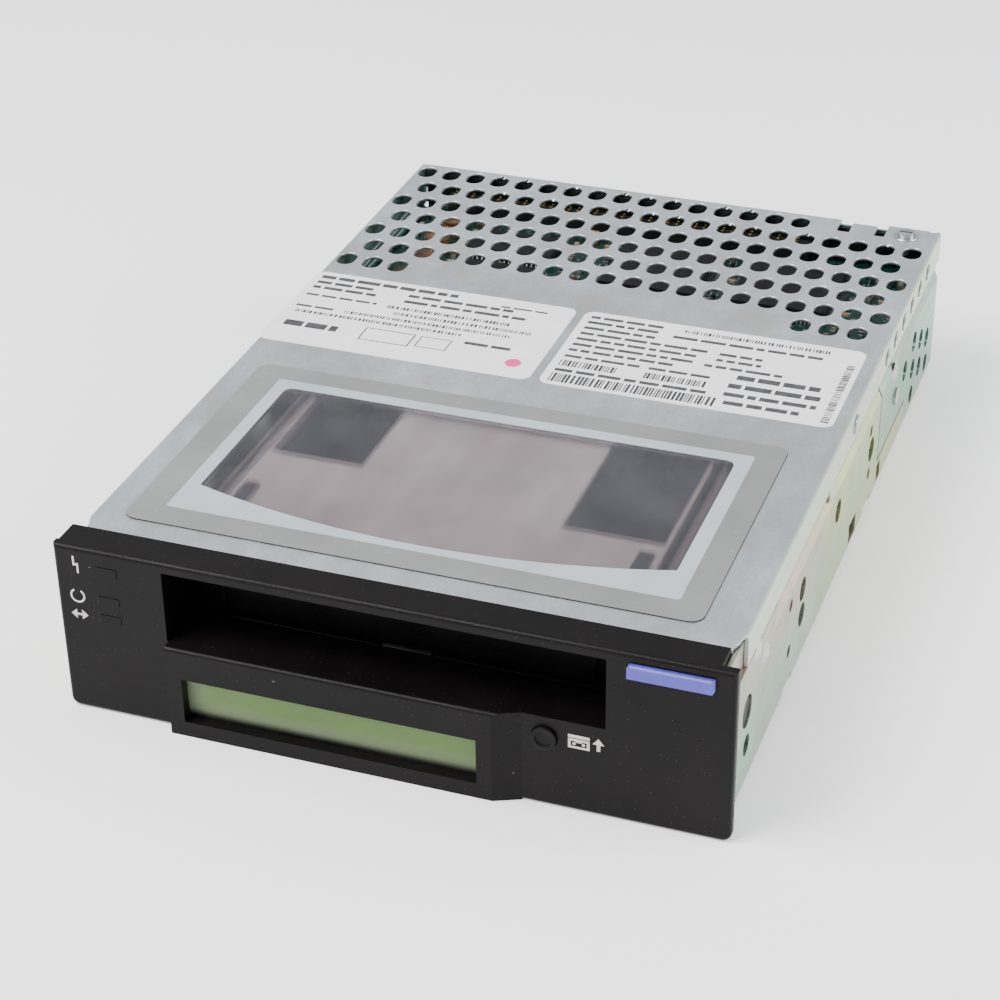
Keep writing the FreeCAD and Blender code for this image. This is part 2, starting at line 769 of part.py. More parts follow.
def make_front_bezel():
    """One moulding: hollow front, slot throat with door ears, display housing, side clips."""
    bezel = body("front_bezel")
    edge = s.bezel_width / 2
    low = -s.bezel_drop
    high = s.bezel_height - s.bezel_drop
    floor = s.slot_floor
    pad(bezel, "XZ", face, s.bezel_depth, [rectangle((-edge, low), (edge, high))])
    round_edges(bezel, "y", [(-edge, low), (edge, low)], s.bezel_corner)
    round_face(bezel, "y", face, s.bezel_edge)
    nose = face - s.housing_reach
    housing = [(-s.housing_left, face + 1), (-s.housing_left, nose), (s.housing_right, nose),
               (s.housing_foot, face), (s.housing_foot, face + 1)]
    pad(bezel, "XY", low, floor - low, [housing])
    round_edges(bezel, "x", [(nose, floor)], s.housing_round)
    within = upper_wall - s.frame_sheet - 0.15
    beside = [rectangle((within, low - 1), (edge + 1, high + 1)),
              rectangle((-edge - 1, low - 1), (-within, frame_top + 0.1)),
              rectangle((-edge - 1, frame_top - 1), (-edge + 0.6, high + 1))]
    beneath = rectangle((-edge, low - 1), (edge, s.frame_sheet + 0.15))
    inside = rectangle((-within + s.bezel_rim, s.frame_sheet + s.bezel_rim),
                       (within - s.bezel_rim, high - s.bezel_rim))
    for shape in (*beside, beneath, inside):
        pocket(bezel, "XZ", face + s.bezel_wall, s.bezel_depth, [shape])
    lap = s.lens_lap
    display_back = rectangle((-s.display_left - lap, s.display_low - lap),
                             (s.display_right + lap, s.display_high + lap))
    lens_front = nose + s.display_recess
    pocket(bezel, "XZ", lens_front, s.bezel_depth + s.housing_reach, [display_back])
    opening = rectangle((-s.display_left, s.display_low), (s.display_right, s.display_high))
    pocket(bezel, "XZ", nose - 1, s.display_recess + 2, [opening])
    wall = s.throat_wall
    tube = rectangle((slot_left - wall, floor - wall), (slot_right + wall, high - 0.2))
    pad(bezel, "XZ", face + 0.5, s.throat_reach - face - 0.5, [tube])
    slot = rectangle((slot_left, floor), (slot_right, slot_top))
    pocket(bezel, "XZ", nose - 1, s.throat_reach - nose + 2, [slot])
    above = rectangle((slot_left - wall - 1, cover_under - 0.3), (slot_right + wall + 1, high + 1))
    pocket(bezel, "XZ", 0, s.throat_reach + 1, [above])
    ear = rectangle((-1, s.ear_low), (s.ear_reach, floor + 4))
    for start in (slot_left - wall, slot_right):
        pad(bezel, "YZ", start, wall, [ear])
    pocket(bezel, "YZ", slot_left - wall - 1, s.slot_width + 2 * wall + 2, [],
           [((pin_y, s.door_pivot), s.pin_radius + s.running_gap)])
    make_bezel_front_cuts(bezel)
    clip_outer = half - s.frame_sheet - 0.3
    clip = rectangle((face + s.bezel_wall - 0.5, s.clip_low), (s.clip_reach, s.clip_high))
    for start in (clip_outer - s.clip_thick, -clip_outer):
        pad(bezel, "YZ", start, s.clip_thick, [clip])
    for start in (clip_outer, -clip_outer - 0.9):
        pad(bezel, "YZ", start, 0.9, [], [((7.5, 19.0), 3.0)])
    return bezel


def make_bezel_front_cuts(bezel):
    """Three light windows, the button's hole and the shallow seats round them."""
    lights = [rectangle((-s.light_centre - s.light_width / 2, z - s.light_height / 2),
                        (-s.light_centre + s.light_width / 2, z + s.light_height / 2))
              for z in light_heights]
    for light in lights:
        pocket(bezel, "XZ", face - 1, s.bezel_wall + 2, [light])
    hole = [((s.button_x, s.button_z), s.button_radius + 0.15)]
    pocket(bezel, "XZ", face - 1, s.bezel_wall + 2, [], hole)


def make_front_trim():
    """The coloured strip, display window, display module and light pipes."""
    strip = body("colour_strip")
    slant = s.strip_slant
    outline = [(s.strip_left, s.strip_low), (s.strip_right - slant, s.strip_low),
               (s.strip_right, s.strip_low + slant * 2), (s.strip_right, s.strip_high),
               (s.strip_left + slant, s.strip_high), (s.strip_left, s.strip_high - slant * 2)]
    pad(strip, "XZ", face - s.strip_thick, s.strip_thick, [outline])
    lens_front = face - s.housing_reach + s.display_recess
    wide = (-s.display_left - s.lens_lap + 0.1, s.display_right + s.lens_lap - 0.1)
    tall = (s.display_low - s.lens_lap, s.display_high + s.lens_lap - 0.1)
    piece("display_window", block(wide, (lens_front, lens_front + s.lens_thick), tall))
    glass_back = lens_front + s.lens_thick
    case = block(wide, (glass_back, glass_back + s.module_thick), tall)
    bevel = block((-s.display_left, s.display_right), (glass_back, glass_back + 0.6),
                  (s.display_low, s.display_high))
    piece("display_module", cut(case, bevel))
    pipes = []
    for z in light_heights:
        low = z - s.light_height / 2 + 0.1
        high = z + s.light_height / 2 - 0.1
        near = -s.light_centre - s.light_width / 2 + 0.1
        far = -s.light_centre + s.light_width / 2 - 0.1
        pipes.append(block((near, far), (face - 0.1, board_front - 0.1), (low, high)))
    piece("light_pipes", group(*pipes))


def make_front_board():
    """The board behind the bezel: a low strip under the slot and a tower for the lights."""
    board = body("front_board")
    low = s.frame_sheet + s.bezel_rim + 0.2
    high = s.ear_low - 0.6
    outline = [(-68, low), (44, low), (44, high), (-53, high), (-53, 36), (-68, 36)]
    pad(board, "XZ", board_front, s.board_thick, [outline])
    return board


def make_unload_button():
    """A round cap on a square stem, its return spring and the switch it presses."""
    cap_front = face - s.button_proud
    cap_back = face + s.bezel_wall
    cap = rod(s.button_radius, (s.button_x, cap_front, s.button_z), cap_back - cap_front, "y")
    dish = rod(s.button_radius - 0.9, (s.button_x, cap_front - 0.1, s.button_z), 0.4, "y")
    collar = rod(s.button_radius + 0.7, (s.button_x, cap_back + 0.1, s.button_z), 0.7, "y")
    stem_end = board_front - 1.4 - s.button_travel
    stem = rod(1.0, (s.button_x, cap_back - 0.1, s.button_z), stem_end - cap_back + 0.1, "y")
    piece("unload_button", cut(fuse(cap, collar, stem), dish))
    can = rod(1.3, (s.button_x, board_front - 1.0, s.button_z), 1.0, "y")
    dome = rod(0.8, (s.button_x, board_front - 1.3, s.button_z), 0.3, "y")
    piece("button_switch", fuse(can, dome))
    coil_start = cap_back + 0.8
    length = board_front - coil_start
    outer = rod(2.2, (s.button_x, coil_start, s.button_z), length, "y")
    inner = rod(1.6, (s.button_x, coil_start - 0.1, s.button_z), length + 0.2, "y")
    piece("button_spring", cut(outer, inner))


# ---- cartridge door --------------------------------------------------------------------------


def make_door():
    """A flap hinged below the slot floor, with a barrel round its pin and ribs at its ends."""
    left = slot_left + s.door_end_gap
    right = slot_right - s.door_end_gap
    back = s.door_front + s.door_thick
    plate = block((left, right), (s.door_front, back), (s.door_pivot, slot_top - s.door_gap))
    barrel = rod(s.door_barrel, (left, pin_y, s.door_pivot), right - left, "x")
    relief = block((left - 1, right + 1), (s.door_front - 2, s.door_front),
                   (s.door_pivot - 2, s.door_pivot + 2))
    bore = rod(s.pin_radius + s.running_gap, (left - 1, pin_y, s.door_pivot),
               right - left + 2, "x")
    spring_gap = block((middle - 6, middle + 6), (s.door_front - 1, back + 2),
                       (s.door_pivot - 2, s.door_pivot + 2.2))
    ribs = [block((x, x + 1.2), (s.door_front - 0.7, s.door_front + 0.2),
                  (s.slot_floor + 1.5, slot_top - s.door_gap - 1)) for x in (left + 5, right - 6.2)]
    piece("cartridge_door", cut(fuse(plate, barrel, *ribs), bore, spring_gap))
    ends = s.throat_wall
    piece("door_pin", rod(s.pin_radius, (slot_left - ends, pin_y, s.door_pivot),
                          s.slot_width + 2 * ends, "x"))
    coil_outer = rod(1.5, (middle - 5.5, pin_y, s.door_pivot), 11.0, "x")
    coil_inner = rod(s.pin_radius + 0.1, (middle - 6, pin_y, s.door_pivot), 12.0, "x")
    piece("door_spring", cut(coil_outer, coil_inner))


# ---- loader ----------------------------------------------------------------------------------


def make_loader_plates():
    """Upright plates beside the basket, each with two upright slots and feet on the deck."""
    foot_drop = s.deck_top
    outline = [(s.plate_front, foot_drop + 2.8), (32, foot_drop + 2.8), (32, foot_drop),
               (s.plate_rear, foot_drop), (s.plate_rear, s.plate_top),
               (s.plate_front, s.plate_top)]
    reach = s.follower_radius + s.slot_clear
    for label, inner, outward in (("left_loader_plate", -1, -1), ("right_loader_plate", 1, 1)):
        near = middle + inner * (s.cartridge_width / 2 + s.basket_clear + s.basket_sheet + s.plate_gap)
        start = near - s.plate_sheet if outward < 0 else near
        plate = body(label)
        pad(plate, "YZ", start, s.plate_sheet, [outline])
        slots = [rectangle((y - reach, s.follower_height - s.basket_drop - reach),
                           (y + reach, s.follower_height + reach))
                 for y in (s.front_follower, s.rear_follower)]
        pocket(plate, "YZ", start - 1, s.plate_sheet + 2, slots)
        lightening = rectangle((38, 14), (56, 26))
        pocket(plate, "YZ", start - 1, s.plate_sheet + 2, [lightening])
        foot_in = near + 5 if outward < 0 else near - 5
        low_x, high_x = foot_in, near + s.plate_sheet
        if outward < 0:
            low_x, high_x = near - s.plate_sheet, foot_in
        for y in (34, 64):
            pad(plate, "XY", foot_drop, s.plate_sheet, [rectangle((low_x, y), (high_x, y + 13))])
        outer_face = near - s.plate_sheet if outward < 0 else near + s.plate_sheet
        stud_start = outer_face - s.cam_gap - s.plate_sheet - 0.3 if outward < 0 else outer_face
        stud_length = s.cam_gap + s.plate_sheet + 0.3
        pad(plate, "YZ", stud_start, stud_length, [], [((y, 15), 1.4) for y in cam_studs])


def make_cam_plates():
    """Sliding plates whose sloping slots lower the basket's pins as they move back."""
    reach = s.follower_radius + s.slot_clear
    high = s.follower_height
    low = high - s.basket_drop
    rise = s.basket_drop
    run = s.cam_travel
    slope = math.hypot(rise.value, run.value)
    lean = reach * (slope / SIZES["cam_travel"])
    drift = reach * rise / run
    back = (lean - reach) * run / rise
    foot = s.cross_bar_low
    outline = [(6, foot), (14, foot), (14, s.cam_low), (s.plate_rear, s.cam_low),
               (s.plate_rear, s.cam_top), (6, s.cam_top)]
    for side, start in (("left", left_cam), ("right", right_cam)):
        plate = doc.addObject("PartDesign::Body", "CamPlate")
        pad(plate, "YZ", start, s.plate_sheet, [outline])
        for y in (s.front_follower, s.rear_follower):
            slot = [(y - run - reach, low - reach), (y - run - reach, low + lean - drift),
                    (y - back, high + reach), (y + reach, high + reach),
                    (y + reach, high - lean + drift), (y - run + back, low - reach)]
            pocket(plate, "YZ", start - 1, s.plate_sheet + 2, [slot])
        guides = [rectangle((y - run - 1.6, 13.4), (y + 1.6, 16.6)) for y in cam_studs]
        pocket(plate, "YZ", start - 1, s.plate_sheet + 2, guides)
        if side == "left":
            shelf = rectangle((left_cam - s.rack_reach, s.rack_shelf_front),
                              (left_cam + s.plate_sheet, s.rack_rear))
            pad(plate, "XY", s.cam_low, s.rack_sheet, [shelf])
            plate = fuse(plate, make_rack())
        piece(f"{side}_cam_plate", plate)
    bar = block((left_cam + s.plate_sheet, right_cam), (8, 12),
                (s.cross_bar_low, s.cross_bar_low + s.cross_bar_sheet))
    piece("cam_cross_bar", bar)


def make_rack():
    """Teeth on the edge of the left cam plate's shelf, facing the loader gear."""
    module = SIZES["gear_module"]
    pitch = math.pi * module
    shelf_edge = (left_cam - s.rack_reach).value
    root = RACK_DEDENDUM * module
    tip = shelf_edge - root - module
    flank = math.tan(math.radians(20))
    root_half = pitch / 4 - SIZES["gear_backlash"] / 2 + flank * root
    tip_half = pitch / 4 - SIZES["gear_backlash"] / 2 - flank * module
    steps = int((SIZES["loader_gear_y"] - SIZES["rack_front"]) / pitch)
    tooth = SIZES["loader_gear_y"] - (steps - 0.5) * pitch
    inside = shelf_edge + 0.6
    corners = [(inside, tooth - root_half)]
    while tooth + root_half < SIZES["rack_rear"]:
        corners += [(shelf_edge, tooth - root_half), (tip, tooth - tip_half),
                    (tip, tooth + tip_half), (shelf_edge, tooth + root_half)]
        tooth += pitch
    corners.append((inside, corners[-1][1]))
    outline = [Vector(x, y, 0) for x, y in corners]
    teeth = Part.Face(Part.makePolygon(outline + outline[:1]))
    return feature("RackTeeth", teeth.extrude(Vector(0, 0, SIZES["rack_sheet"])),
                   (0, 0, s.cam_low))


def make_basket():
    """The folded cartridge basket: open front and rear, lips below, a T-shaped top."""
    basket = body("cartridge_basket")
    inner = s.cartridge_width / 2 + s.basket_clear
    outer = inner + s.basket_sheet
    low = s.cartridge_low
    high = low + s.cartridge_height + 0.4
    t = s.basket_sheet
    section = [(middle - outer, low - t), (middle - outer, high + t), (middle + outer, high + t),
               (middle + outer, low - t), (middle + outer - s.basket_lip, low - t),
               (middle + outer - s.basket_lip, low), (middle + inner, low),
               (middle + inner, high), (middle - inner, high), (middle - inner, low),
               (middle - outer + s.basket_lip, low), (middle - outer + s.basket_lip, low - t)]
    front = s.basket_front
    rear = front + s.cartridge_depth + 0.4
    pad(basket, "XZ", front, rear + t - front, [section])
    stops = [rectangle((middle - inner - 0.2, low - 0.1), (middle - inner + 9, high - 3)),
             rectangle((middle + inner - 9, low - 0.1), (middle + inner + 0.2, high - 3))]
    for stop in stops:
        pad(basket, "XZ", rear, t, [stop])
    left_cut = rectangle((middle - inner, s.left_notch), (-s.tongue_left, rear + t + 1))
    right_cut = rectangle((s.tongue_right, s.right_notch), (middle + inner, rear + t + 1))
    pocket(basket, "XY", high - 0.5, t + 1, [left_cut, right_cut])
    lip_cut = rectangle((middle - inner, front - 1), (middle + inner, s.lip_front))
    pocket(basket, "XY", low - t - 0.5, t + 1, [lip_cut])
    top_cut = rectangle((middle - inner, front - 1), (middle + inner, s.basket_top_front))
    pocket(basket, "XY", high - 0.5, t + 1, [top_cut])
    side_window = rectangle((30, low + 3), (54, high - 3))
    pocket(basket, "YZ", middle - outer - 1, 2 * outer + 2, [side_window])
    pins = []
    reach = outer + s.plate_gap + 2 * s.plate_sheet + s.cam_gap + 1.0
    for y in (s.front_follower, s.rear_follower):
        for start in (middle - reach, middle + outer):
            pins.append(rod(s.follower_radius, (start, y, s.follower_height), reach - outer, "x"))
    piece("basket_pins", group(*pins))


# ---- gears -----------------------------------------------------------------------------------

RACK_DEDENDUM = 1.25


def gear_outline(teeth, phase, first=0, count=None):
    """Corners of a toothed rim: straight-flanked teeth, the first centred at `phase` degrees."""
    module = SIZES["gear_module"]
    pitch_radius = module * teeth / 2
    step = 360 / teeth
    slack = math.degrees(SIZES["gear_backlash"] / 2 / pitch_radius)
    profile = ((-1.0, 0.37), (1.0, 0.13))
    corners = []
    for tooth in range(first, first + (count or teeth)):
        centre = phase + tooth * step
        sides = [(depth * module * (RACK_DEDENDUM if depth < 0 else 1), share * step - slack / 2)
                 for depth, share in profile]
        for depth, swing in sides:
            corners.append((pitch_radius + depth, centre - swing))
        for depth, swing in reversed(sides):
            corners.append((pitch_radius + depth, centre + swing))
    return [Vector(r * math.cos(math.radians(a)), r * math.sin(math.radians(a)), 0)
            for r, a in corners]


def gear_shape(teeth, phase, thick, bore):
    rim = gear_outline(teeth, phase)
    solid = Part.Face(Part.makePolygon(rim + rim[:1])).extrude(Vector(0, 0, thick))
    return solid.cut(Part.makeCylinder(bore, thick + 2, Vector(0, 0, -1)))


def mesh_phase(phase, teeth, direction, other_teeth):
    """Phase of a gear that lies in `direction` from one with the given phase and teeth."""
    return (direction + 180 + 180 / other_teeth
            - (phase - direction) * teeth / other_teeth)


def feature(name, shape, at):
    item = doc.addObject("Part::Feature", name)
    item.Shape = shape
    return place(item, at)


def polar(centre, radius, angle):
    return (centre[0] + radius * cosine(angle), centre[1] + radius * sine(angle))


gear_pitch = s.gear_module * s.gear_teeth / 2
pinion_pitch = s.gear_module * s.pinion_teeth / 2
ring_pitch = s.gear_module * s.ring_teeth / 2
drum_centre = (middle, s.drum_y)
pair_angle = math.degrees(math.asin((gear_pitch / (ring_pitch + gear_pitch)).value))
supply_gear_at = polar(drum_centre, ring_pitch + gear_pitch, 90 + pair_angle)
takeup_gear_at = polar(drum_centre, ring_pitch + gear_pitch, 90 - pair_angle)
MOTOR_DIRECTION = 150
thread_motor_at = polar(supply_gear_at, gear_pitch + pinion_pitch, MOTOR_DIRECTION)

outer_basket = s.cartridge_width / 2 + s.basket_clear + s.basket_sheet
left_cam = middle - outer_basket - s.plate_gap - 2 * s.plate_sheet - s.cam_gap
right_cam = middle + outer_basket + s.plate_gap + s.plate_sheet + s.cam_gap
cam_studs = (34, 70)
rack_line = left_cam - s.rack_reach - RACK_DEDENDUM * s.gear_module
loader_gear_at = (rack_line - gear_pitch, s.loader_gear_y)
load_motor_at = (loader_gear_at[0], loader_gear_at[1] - gear_pitch - pinion_pitch)

pin_y = s.door_front + s.door_thick / 2
light_heights = (s.light_top, s.light_middle, s.light_bottom)
board_front = -s.board_thick - s.front_board_gap - 1.2
deck_mounts = [(x, y) for x in (-s.deck_left + s.mount_inset, s.deck_right - s.mount_inset)
               for y in (s.deck_front + s.mount_edge, s.deck_rear - s.mount_edge)]
ring_low = s.deck_top + s.ring_float
upper_ring_low = ring_low + s.ring_thick + s.ring_float
mesh_low = upper_ring_low + s.ring_thick + 0.6

interface_deck = s.interface_low + s.board_thick
interface_left = -50.0
interface_right = 6.0
jumper_left = 12.0
jumper_right = 28.0
power_left = 36.0
power_right = 58.0


def make_loader_gears():
    """The loader gear between the rack and the load motor's pinion."""
    level = s.cam_low
    teeth = SIZES["gear_teeth"]
    bore = SIZES["pivot_radius"] + SIZES["running_gap"]
    gear = feature("Gear", gear_shape(teeth, 0, SIZES["rack_sheet"], bore),
                   (loader_gear_at[0], loader_gear_at[1], level))
    hub = rod(3.0, (*loader_gear_at, s.deck_top + 0.3), level - s.deck_top - 0.3)
    hole = rod(s.pivot_radius + s.running_gap, (*loader_gear_at, s.deck_top), level)
    piece("loader_gear", fuse(gear, cut(hub, hole)))
    phase = mesh_phase(0, teeth, -90, SIZES["pinion_teeth"])
    shape = gear_shape(SIZES["pinion_teeth"], phase, SIZES["rack_sheet"], 0.75)
    piece("load_pinion", feature("LoadPinion", shape, (*load_motor_at, level)))
    make_motor("load_motor", load_motor_at, level + s.rack_sheet)


def make_motor(label, at, shaft_top):
    """A small can motor hung under the deck by a flange with two ears, shaft upward."""
    x, y = at
    can = rod(s.motor_radius, (x, y, s.frame_sheet + 0.5), s.deck_top - s.frame_sheet - 0.5)
    ear = s.motor_radius + 2.7
    flange = block((x - 4.5, x + 4.5), (y - ear, y + ear), (s.deck_under - 0.8, s.deck_under))
    shaft = rod(0.75, (x, y, s.deck_top), shaft_top - s.deck_top + 0.4)
    piece(label, fuse(can, flange, shaft))


# ---- deck ------------------------------------------------------------------------------------


def make_deck_casting():
    """The machined aluminium deck: a plate with a skirt, a rear lobe and cross ribs."""
    deck = body("deck_casting")
    left = -s.deck_left
    right = s.deck_right
    front = s.deck_front
    rear = s.deck_rear
    lobe = s.lobe_width / 2
    cut_in = 8
    outline = [(left, front), (right, front), (right, rear), (middle + lobe, rear),
               (middle + lobe - cut_in, s.lobe_rear), (middle - lobe + cut_in, s.lobe_rear),
               (middle - lobe, rear), (left, rear)]
    pad(deck, "XY", s.deck_under, s.deck_top - s.deck_under, [outline])
    skirt = s.deck_under - s.deck_low
    rib = s.deck_rib
    inner = rectangle((left + rib, front + rib), (right - rib, rear - rib))
    pad(deck, "XY", s.deck_low, skirt, [rectangle((left, front), (right, rear)), inner])
    cross = rectangle((left + rib - 0.1, s.reel_y + 20), (right - rib + 0.1, s.reel_y + 20 + rib))
    pad(deck, "XY", s.deck_low, skirt, [cross])
    bosses = [(spot, s.mount_pad_radius) for spot in deck_mounts]
    pad(deck, "XY", s.deck_low, skirt, [], bosses[:1])
    for boss in bosses[1:]:
        pad(deck, "XY", s.deck_low, skirt, [], [boss])
    through = s.deck_top - s.deck_low + 4
    bush_holes = [((middle + side * s.reel_spacing / 2, s.reel_y), s.bush_radius)
                  for side in (-1, 1)]
    screw_holes = [(spot, s.screw_radius + 0.1) for spot in deck_mounts]
    motors = [(spot, s.motor_radius + 0.2) for spot in (load_motor_at, thread_motor_at)]
    pivots = [(spot, s.pivot_radius) for spot in pivot_spots]
    pocket(deck, "XY", s.deck_low - 2, through, [], bush_holes + screw_holes + motors + pivots)
    pocket(deck, "XY", s.deck_low - 2, through, [], [(drum_centre, s.drum_shaft + 8)])
    pocket(deck, "XY", s.deck_low - 2, through,
           [rectangle((-65, 30), (-55, 56)), rectangle((56, 30), (63, 88))])
    return deck


def make_deck_mounts():
    """Rubber mounts between floor and deck, and the screws that hold them."""
    mounts = []
    screws = []
    for x, y in deck_mounts:
        ring = rod(s.mount_pad_radius, (x, y, s.frame_sheet), s.deck_low - s.frame_sheet)
        hole = rod(s.screw_radius + 0.1, (x, y, 0), s.deck_top)
        mounts.append(cut(ring, hole))
        head = rod(s.screw_head + 0.7, (x, y, s.deck_top), s.screw_head_thick)
        shank = rod(s.screw_radius, (x, y, 0.2), s.deck_top)
        recess = block((x - 1.5, x + 1.5), (y - 0.3, y + 0.3),
                       (s.deck_top + 0.7, s.deck_top + s.screw_head_thick + 1))
        screws.append(cut(fuse(head, shank), recess))
    piece("deck_mounts", group(*mounts))
    return screws


def make_reels():
    """Hubs with their shafts, bushes, and flat motors under the deck."""
    bushes = []
    stators = []
    for label, side in (("supply", -1), ("takeup", 1)):
        x = middle + side * s.reel_spacing / 2
        y = s.reel_y
        table_top = s.turntable_low + s.turntable_thick
        table = rod(s.turntable_radius, (x, y, s.turntable_low), s.turntable_thick)
        spindle = rod(s.spindle_radius - 0.9, (x, y, table_top - 0.1), s.spindle_height)
        shaft = rod(s.reel_shaft, (x, y, s.rotor_low), s.turntable_low - s.rotor_low + 0.1)
        collar = rod(s.reel_shaft + 0.8, (x, y, s.deck_top + 0.1), s.turntable_low - s.deck_top)
        nose = doc.addObject("Part::Cone", "Nose")
        bind(nose, "Radius1", s.spindle_radius - 0.9)
        bind(nose, "Radius2", 0.8)
        bind(nose, "Height", 1.6)
        place(nose, (x, y, table_top + s.spindle_height - 0.1))
        splines = []
        for angle in (0, 60, 120):
            rib = doc.addObject("Part::Box", "Spline")
            bind(rib, "Length", 2 * s.spindle_radius)
            bind(rib, "Width", 0.9)
            bind(rib, "Height", s.spindle_height - 1.2)
            end = polar((x, y), -s.spindle_radius, angle)
            corner = polar(end, -0.45, angle + 90)
            place(rib, (*corner, table_top - 0.1), Rotation(Vector(0, 0, 1), angle))
            splines.append(rib)
        piece(f"{label}_hub", fuse(table, spindle, shaft, collar, nose, *splines))
        rotor = rod(s.rotor_radius, (x, y, s.rotor_low), s.rotor_thick)
        bore = rod(s.reel_shaft, (x, y, 0), s.deck_top)
        piece(f"{label}_rotor", cut(rotor, bore))
        stator_low = s.deck_under - s.stator_thick
        stator = rod(s.rotor_radius + 1, (x, y, stator_low), s.stator_thick)
        centre = rod(s.bush_radius + 0.5, (x, y, 0), s.deck_top)
        stators.append(cut(stator, centre))
        bush = rod(s.bush_radius, (x, y, s.deck_under), s.deck_top - s.deck_under)
        bush_bore = rod(s.reel_shaft + s.running_gap, (x, y, 0), s.deck_top + 1)
        bushes.append(cut(bush, bush_bore))
    piece("reel_bushes", group(*bushes))
    return stators


def tilted(item, height):
    """Puts an upright piece on the scan drum's leaning axis, `height` along it."""
    item.Placement = Placement(Vector(middle.value, 0, 0), Rotation(Vector(1, 0, 0), -s.drum_tilt.value))
    bind(item, "Placement.Base.x", middle)
    bind(item, "Placement.Base.y", s.drum_y + height * sine(s.drum_tilt))
    bind(item, "Placement.Base.z", drum_seat + height * cosine(s.drum_tilt))
    bind(item, "Placement.Rotation.Angle", s.drum_tilt)
    bind(item, "Placement.Rotation.Axis.x", -1)
    return item


def drum_rod(radius, start, length):
    item = doc.addObject("Part::Cylinder", "DrumRod")
    bind(item, "Radius", radius)
    bind(item, "Height", length)
    return tilted(item, dim(start))


drum_seat = s.deck_top + 1.6


def make_scanner():
    """The helical-scan drum: fixed lower half and shaft, turning upper half and rotor."""
    flange = rod(s.drum_flange, (*drum_centre, s.deck_top), 1.6)
    lower = drum_rod(s.drum_radius, -0.9, s.lower_drum + 0.9)
    shaft_top = s.lower_drum + s.drum_gap + s.upper_drum + s.drum_rotor_thick + 2.4
    shaft = drum_rod(s.drum_shaft, 0.5, shaft_top - 0.5)
    trim = block((middle - 30, middle + 30), (s.drum_y - 30, s.drum_y + 30), (0, s.deck_top))
    piece("scanner_base", cut(fuse(flange, lower, shaft), trim))
    start = s.lower_drum + s.drum_gap
    upper = drum_rod(s.drum_radius, start, s.upper_drum)
    well = drum_rod(s.drum_radius - 3, start + s.upper_drum - 2.2, 3)
    hub = drum_rod(s.drum_shaft + 4, start + 0.5, s.upper_drum - 0.5)
    bore = drum_rod(s.drum_shaft + s.running_gap, start - 1, s.upper_drum + 5)
    windows = []
    for angle in (0, 90, 180, 270):
        window = doc.addObject("Part::Cylinder", "HeadWindow")
        bind(window, "Radius", 1.6)
        bind(window, "Height", 4)
        lean = Rotation(Vector(1, 0, 0), -s.drum_tilt.value)
        spoke = Rotation(Vector(0, 0, 1), angle).multiply(Rotation(Vector(0, 1, 0), 90))
        spot = Rotation(Vector(0, 0, 1), angle).multVec(Vector(s.drum_radius.value - 2, 0, 0))
        base = lean.multVec(spot + Vector(0, 0, start.value))
        window.Placement = Placement(base + Vector(middle.value, s.drum_y.value, drum_seat.value),
                                     lean.multiply(spoke))
        windows.append(window)
    piece("scanner_drum", cut(fuse(cut(upper, well), hub), bore, *windows))
    rotor_low = start + s.upper_drum + 0.1
    cup = drum_rod(s.drum_rotor, rotor_low, s.drum_rotor_thick)
    hollow = drum_rod(s.drum_rotor - 1.4, rotor_low + 0.9, s.drum_rotor_thick)
    rotor_bore = drum_rod(s.drum_shaft + s.running_gap, rotor_low - 1, s.drum_rotor_thick + 2)
    piece("scanner_rotor", cut(cup, hollow, rotor_bore))
    stator = drum_rod(s.drum_rotor - 2, rotor_low + 1.3, s.drum_rotor_thick + 0.2)
    stator_bore = drum_rod(s.drum_shaft, rotor_low, s.drum_rotor_thick + 4)
    return cut(stator, stator_bore)


# ---- tape threading --------------------------------------------------------------------------


def make_ring(label, level, gear_at, direction, tab_angle, swing):
    """A loading ring with teeth where its gear runs, and a tab that carries its trolley."""
    module = SIZES["gear_module"]
    teeth = SIZES["ring_teeth"]
    root = module * (teeth / 2 - RACK_DEDENDUM)
    step = 360 / teeth
    low = min(0, -swing) - 14
    high = max(0, -swing) + 14
    first = math.floor(low / step)
    count = math.ceil((high - low) / step)
    rim = gear_outline(teeth, direction, first, count)
    thick = SIZES["ring_thick"]
    disc = Part.makeCylinder(root + 0.02, thick)
    wedge = Part.Face(Part.makePolygon([Vector(0, 0, 0)] + rim + [Vector(0, 0, 0)]))
    toothed = wedge.extrude(Vector(0, 0, thick))
    ring = disc.fuse(toothed).cut(Part.makeCylinder(SIZES["ring_inner"], thick + 2, Vector(0, 0, -1)))
    spot = Rotation(Vector(0, 0, 1), tab_angle)
    tab = Part.makeBox(SIZES["ring_inner"] + 1.2 - 22.0, 7.0, thick, Vector(22.0, -3.5, 0))
    tab.Placement = Placement(Vector(0, 0, 0), spot)
    height = (s.trolley_top - level).value
    post = Part.makeCylinder(1.0, height, spot.multVec(Vector(SIZES["trolley_radius"], 0, 0)))
    foot = Part.makeCylinder(2.2, (roller_low - level).value - 0.2,
                             spot.multVec(Vector(SIZES["trolley_radius"], 0, 0)))
    shape = ring.fuse([tab, post, foot]).removeSplitter()
    piece(label, feature("Ring", shape, (*drum_centre, level)))


roller_low = upper_ring_low + s.ring_thick + 1.0


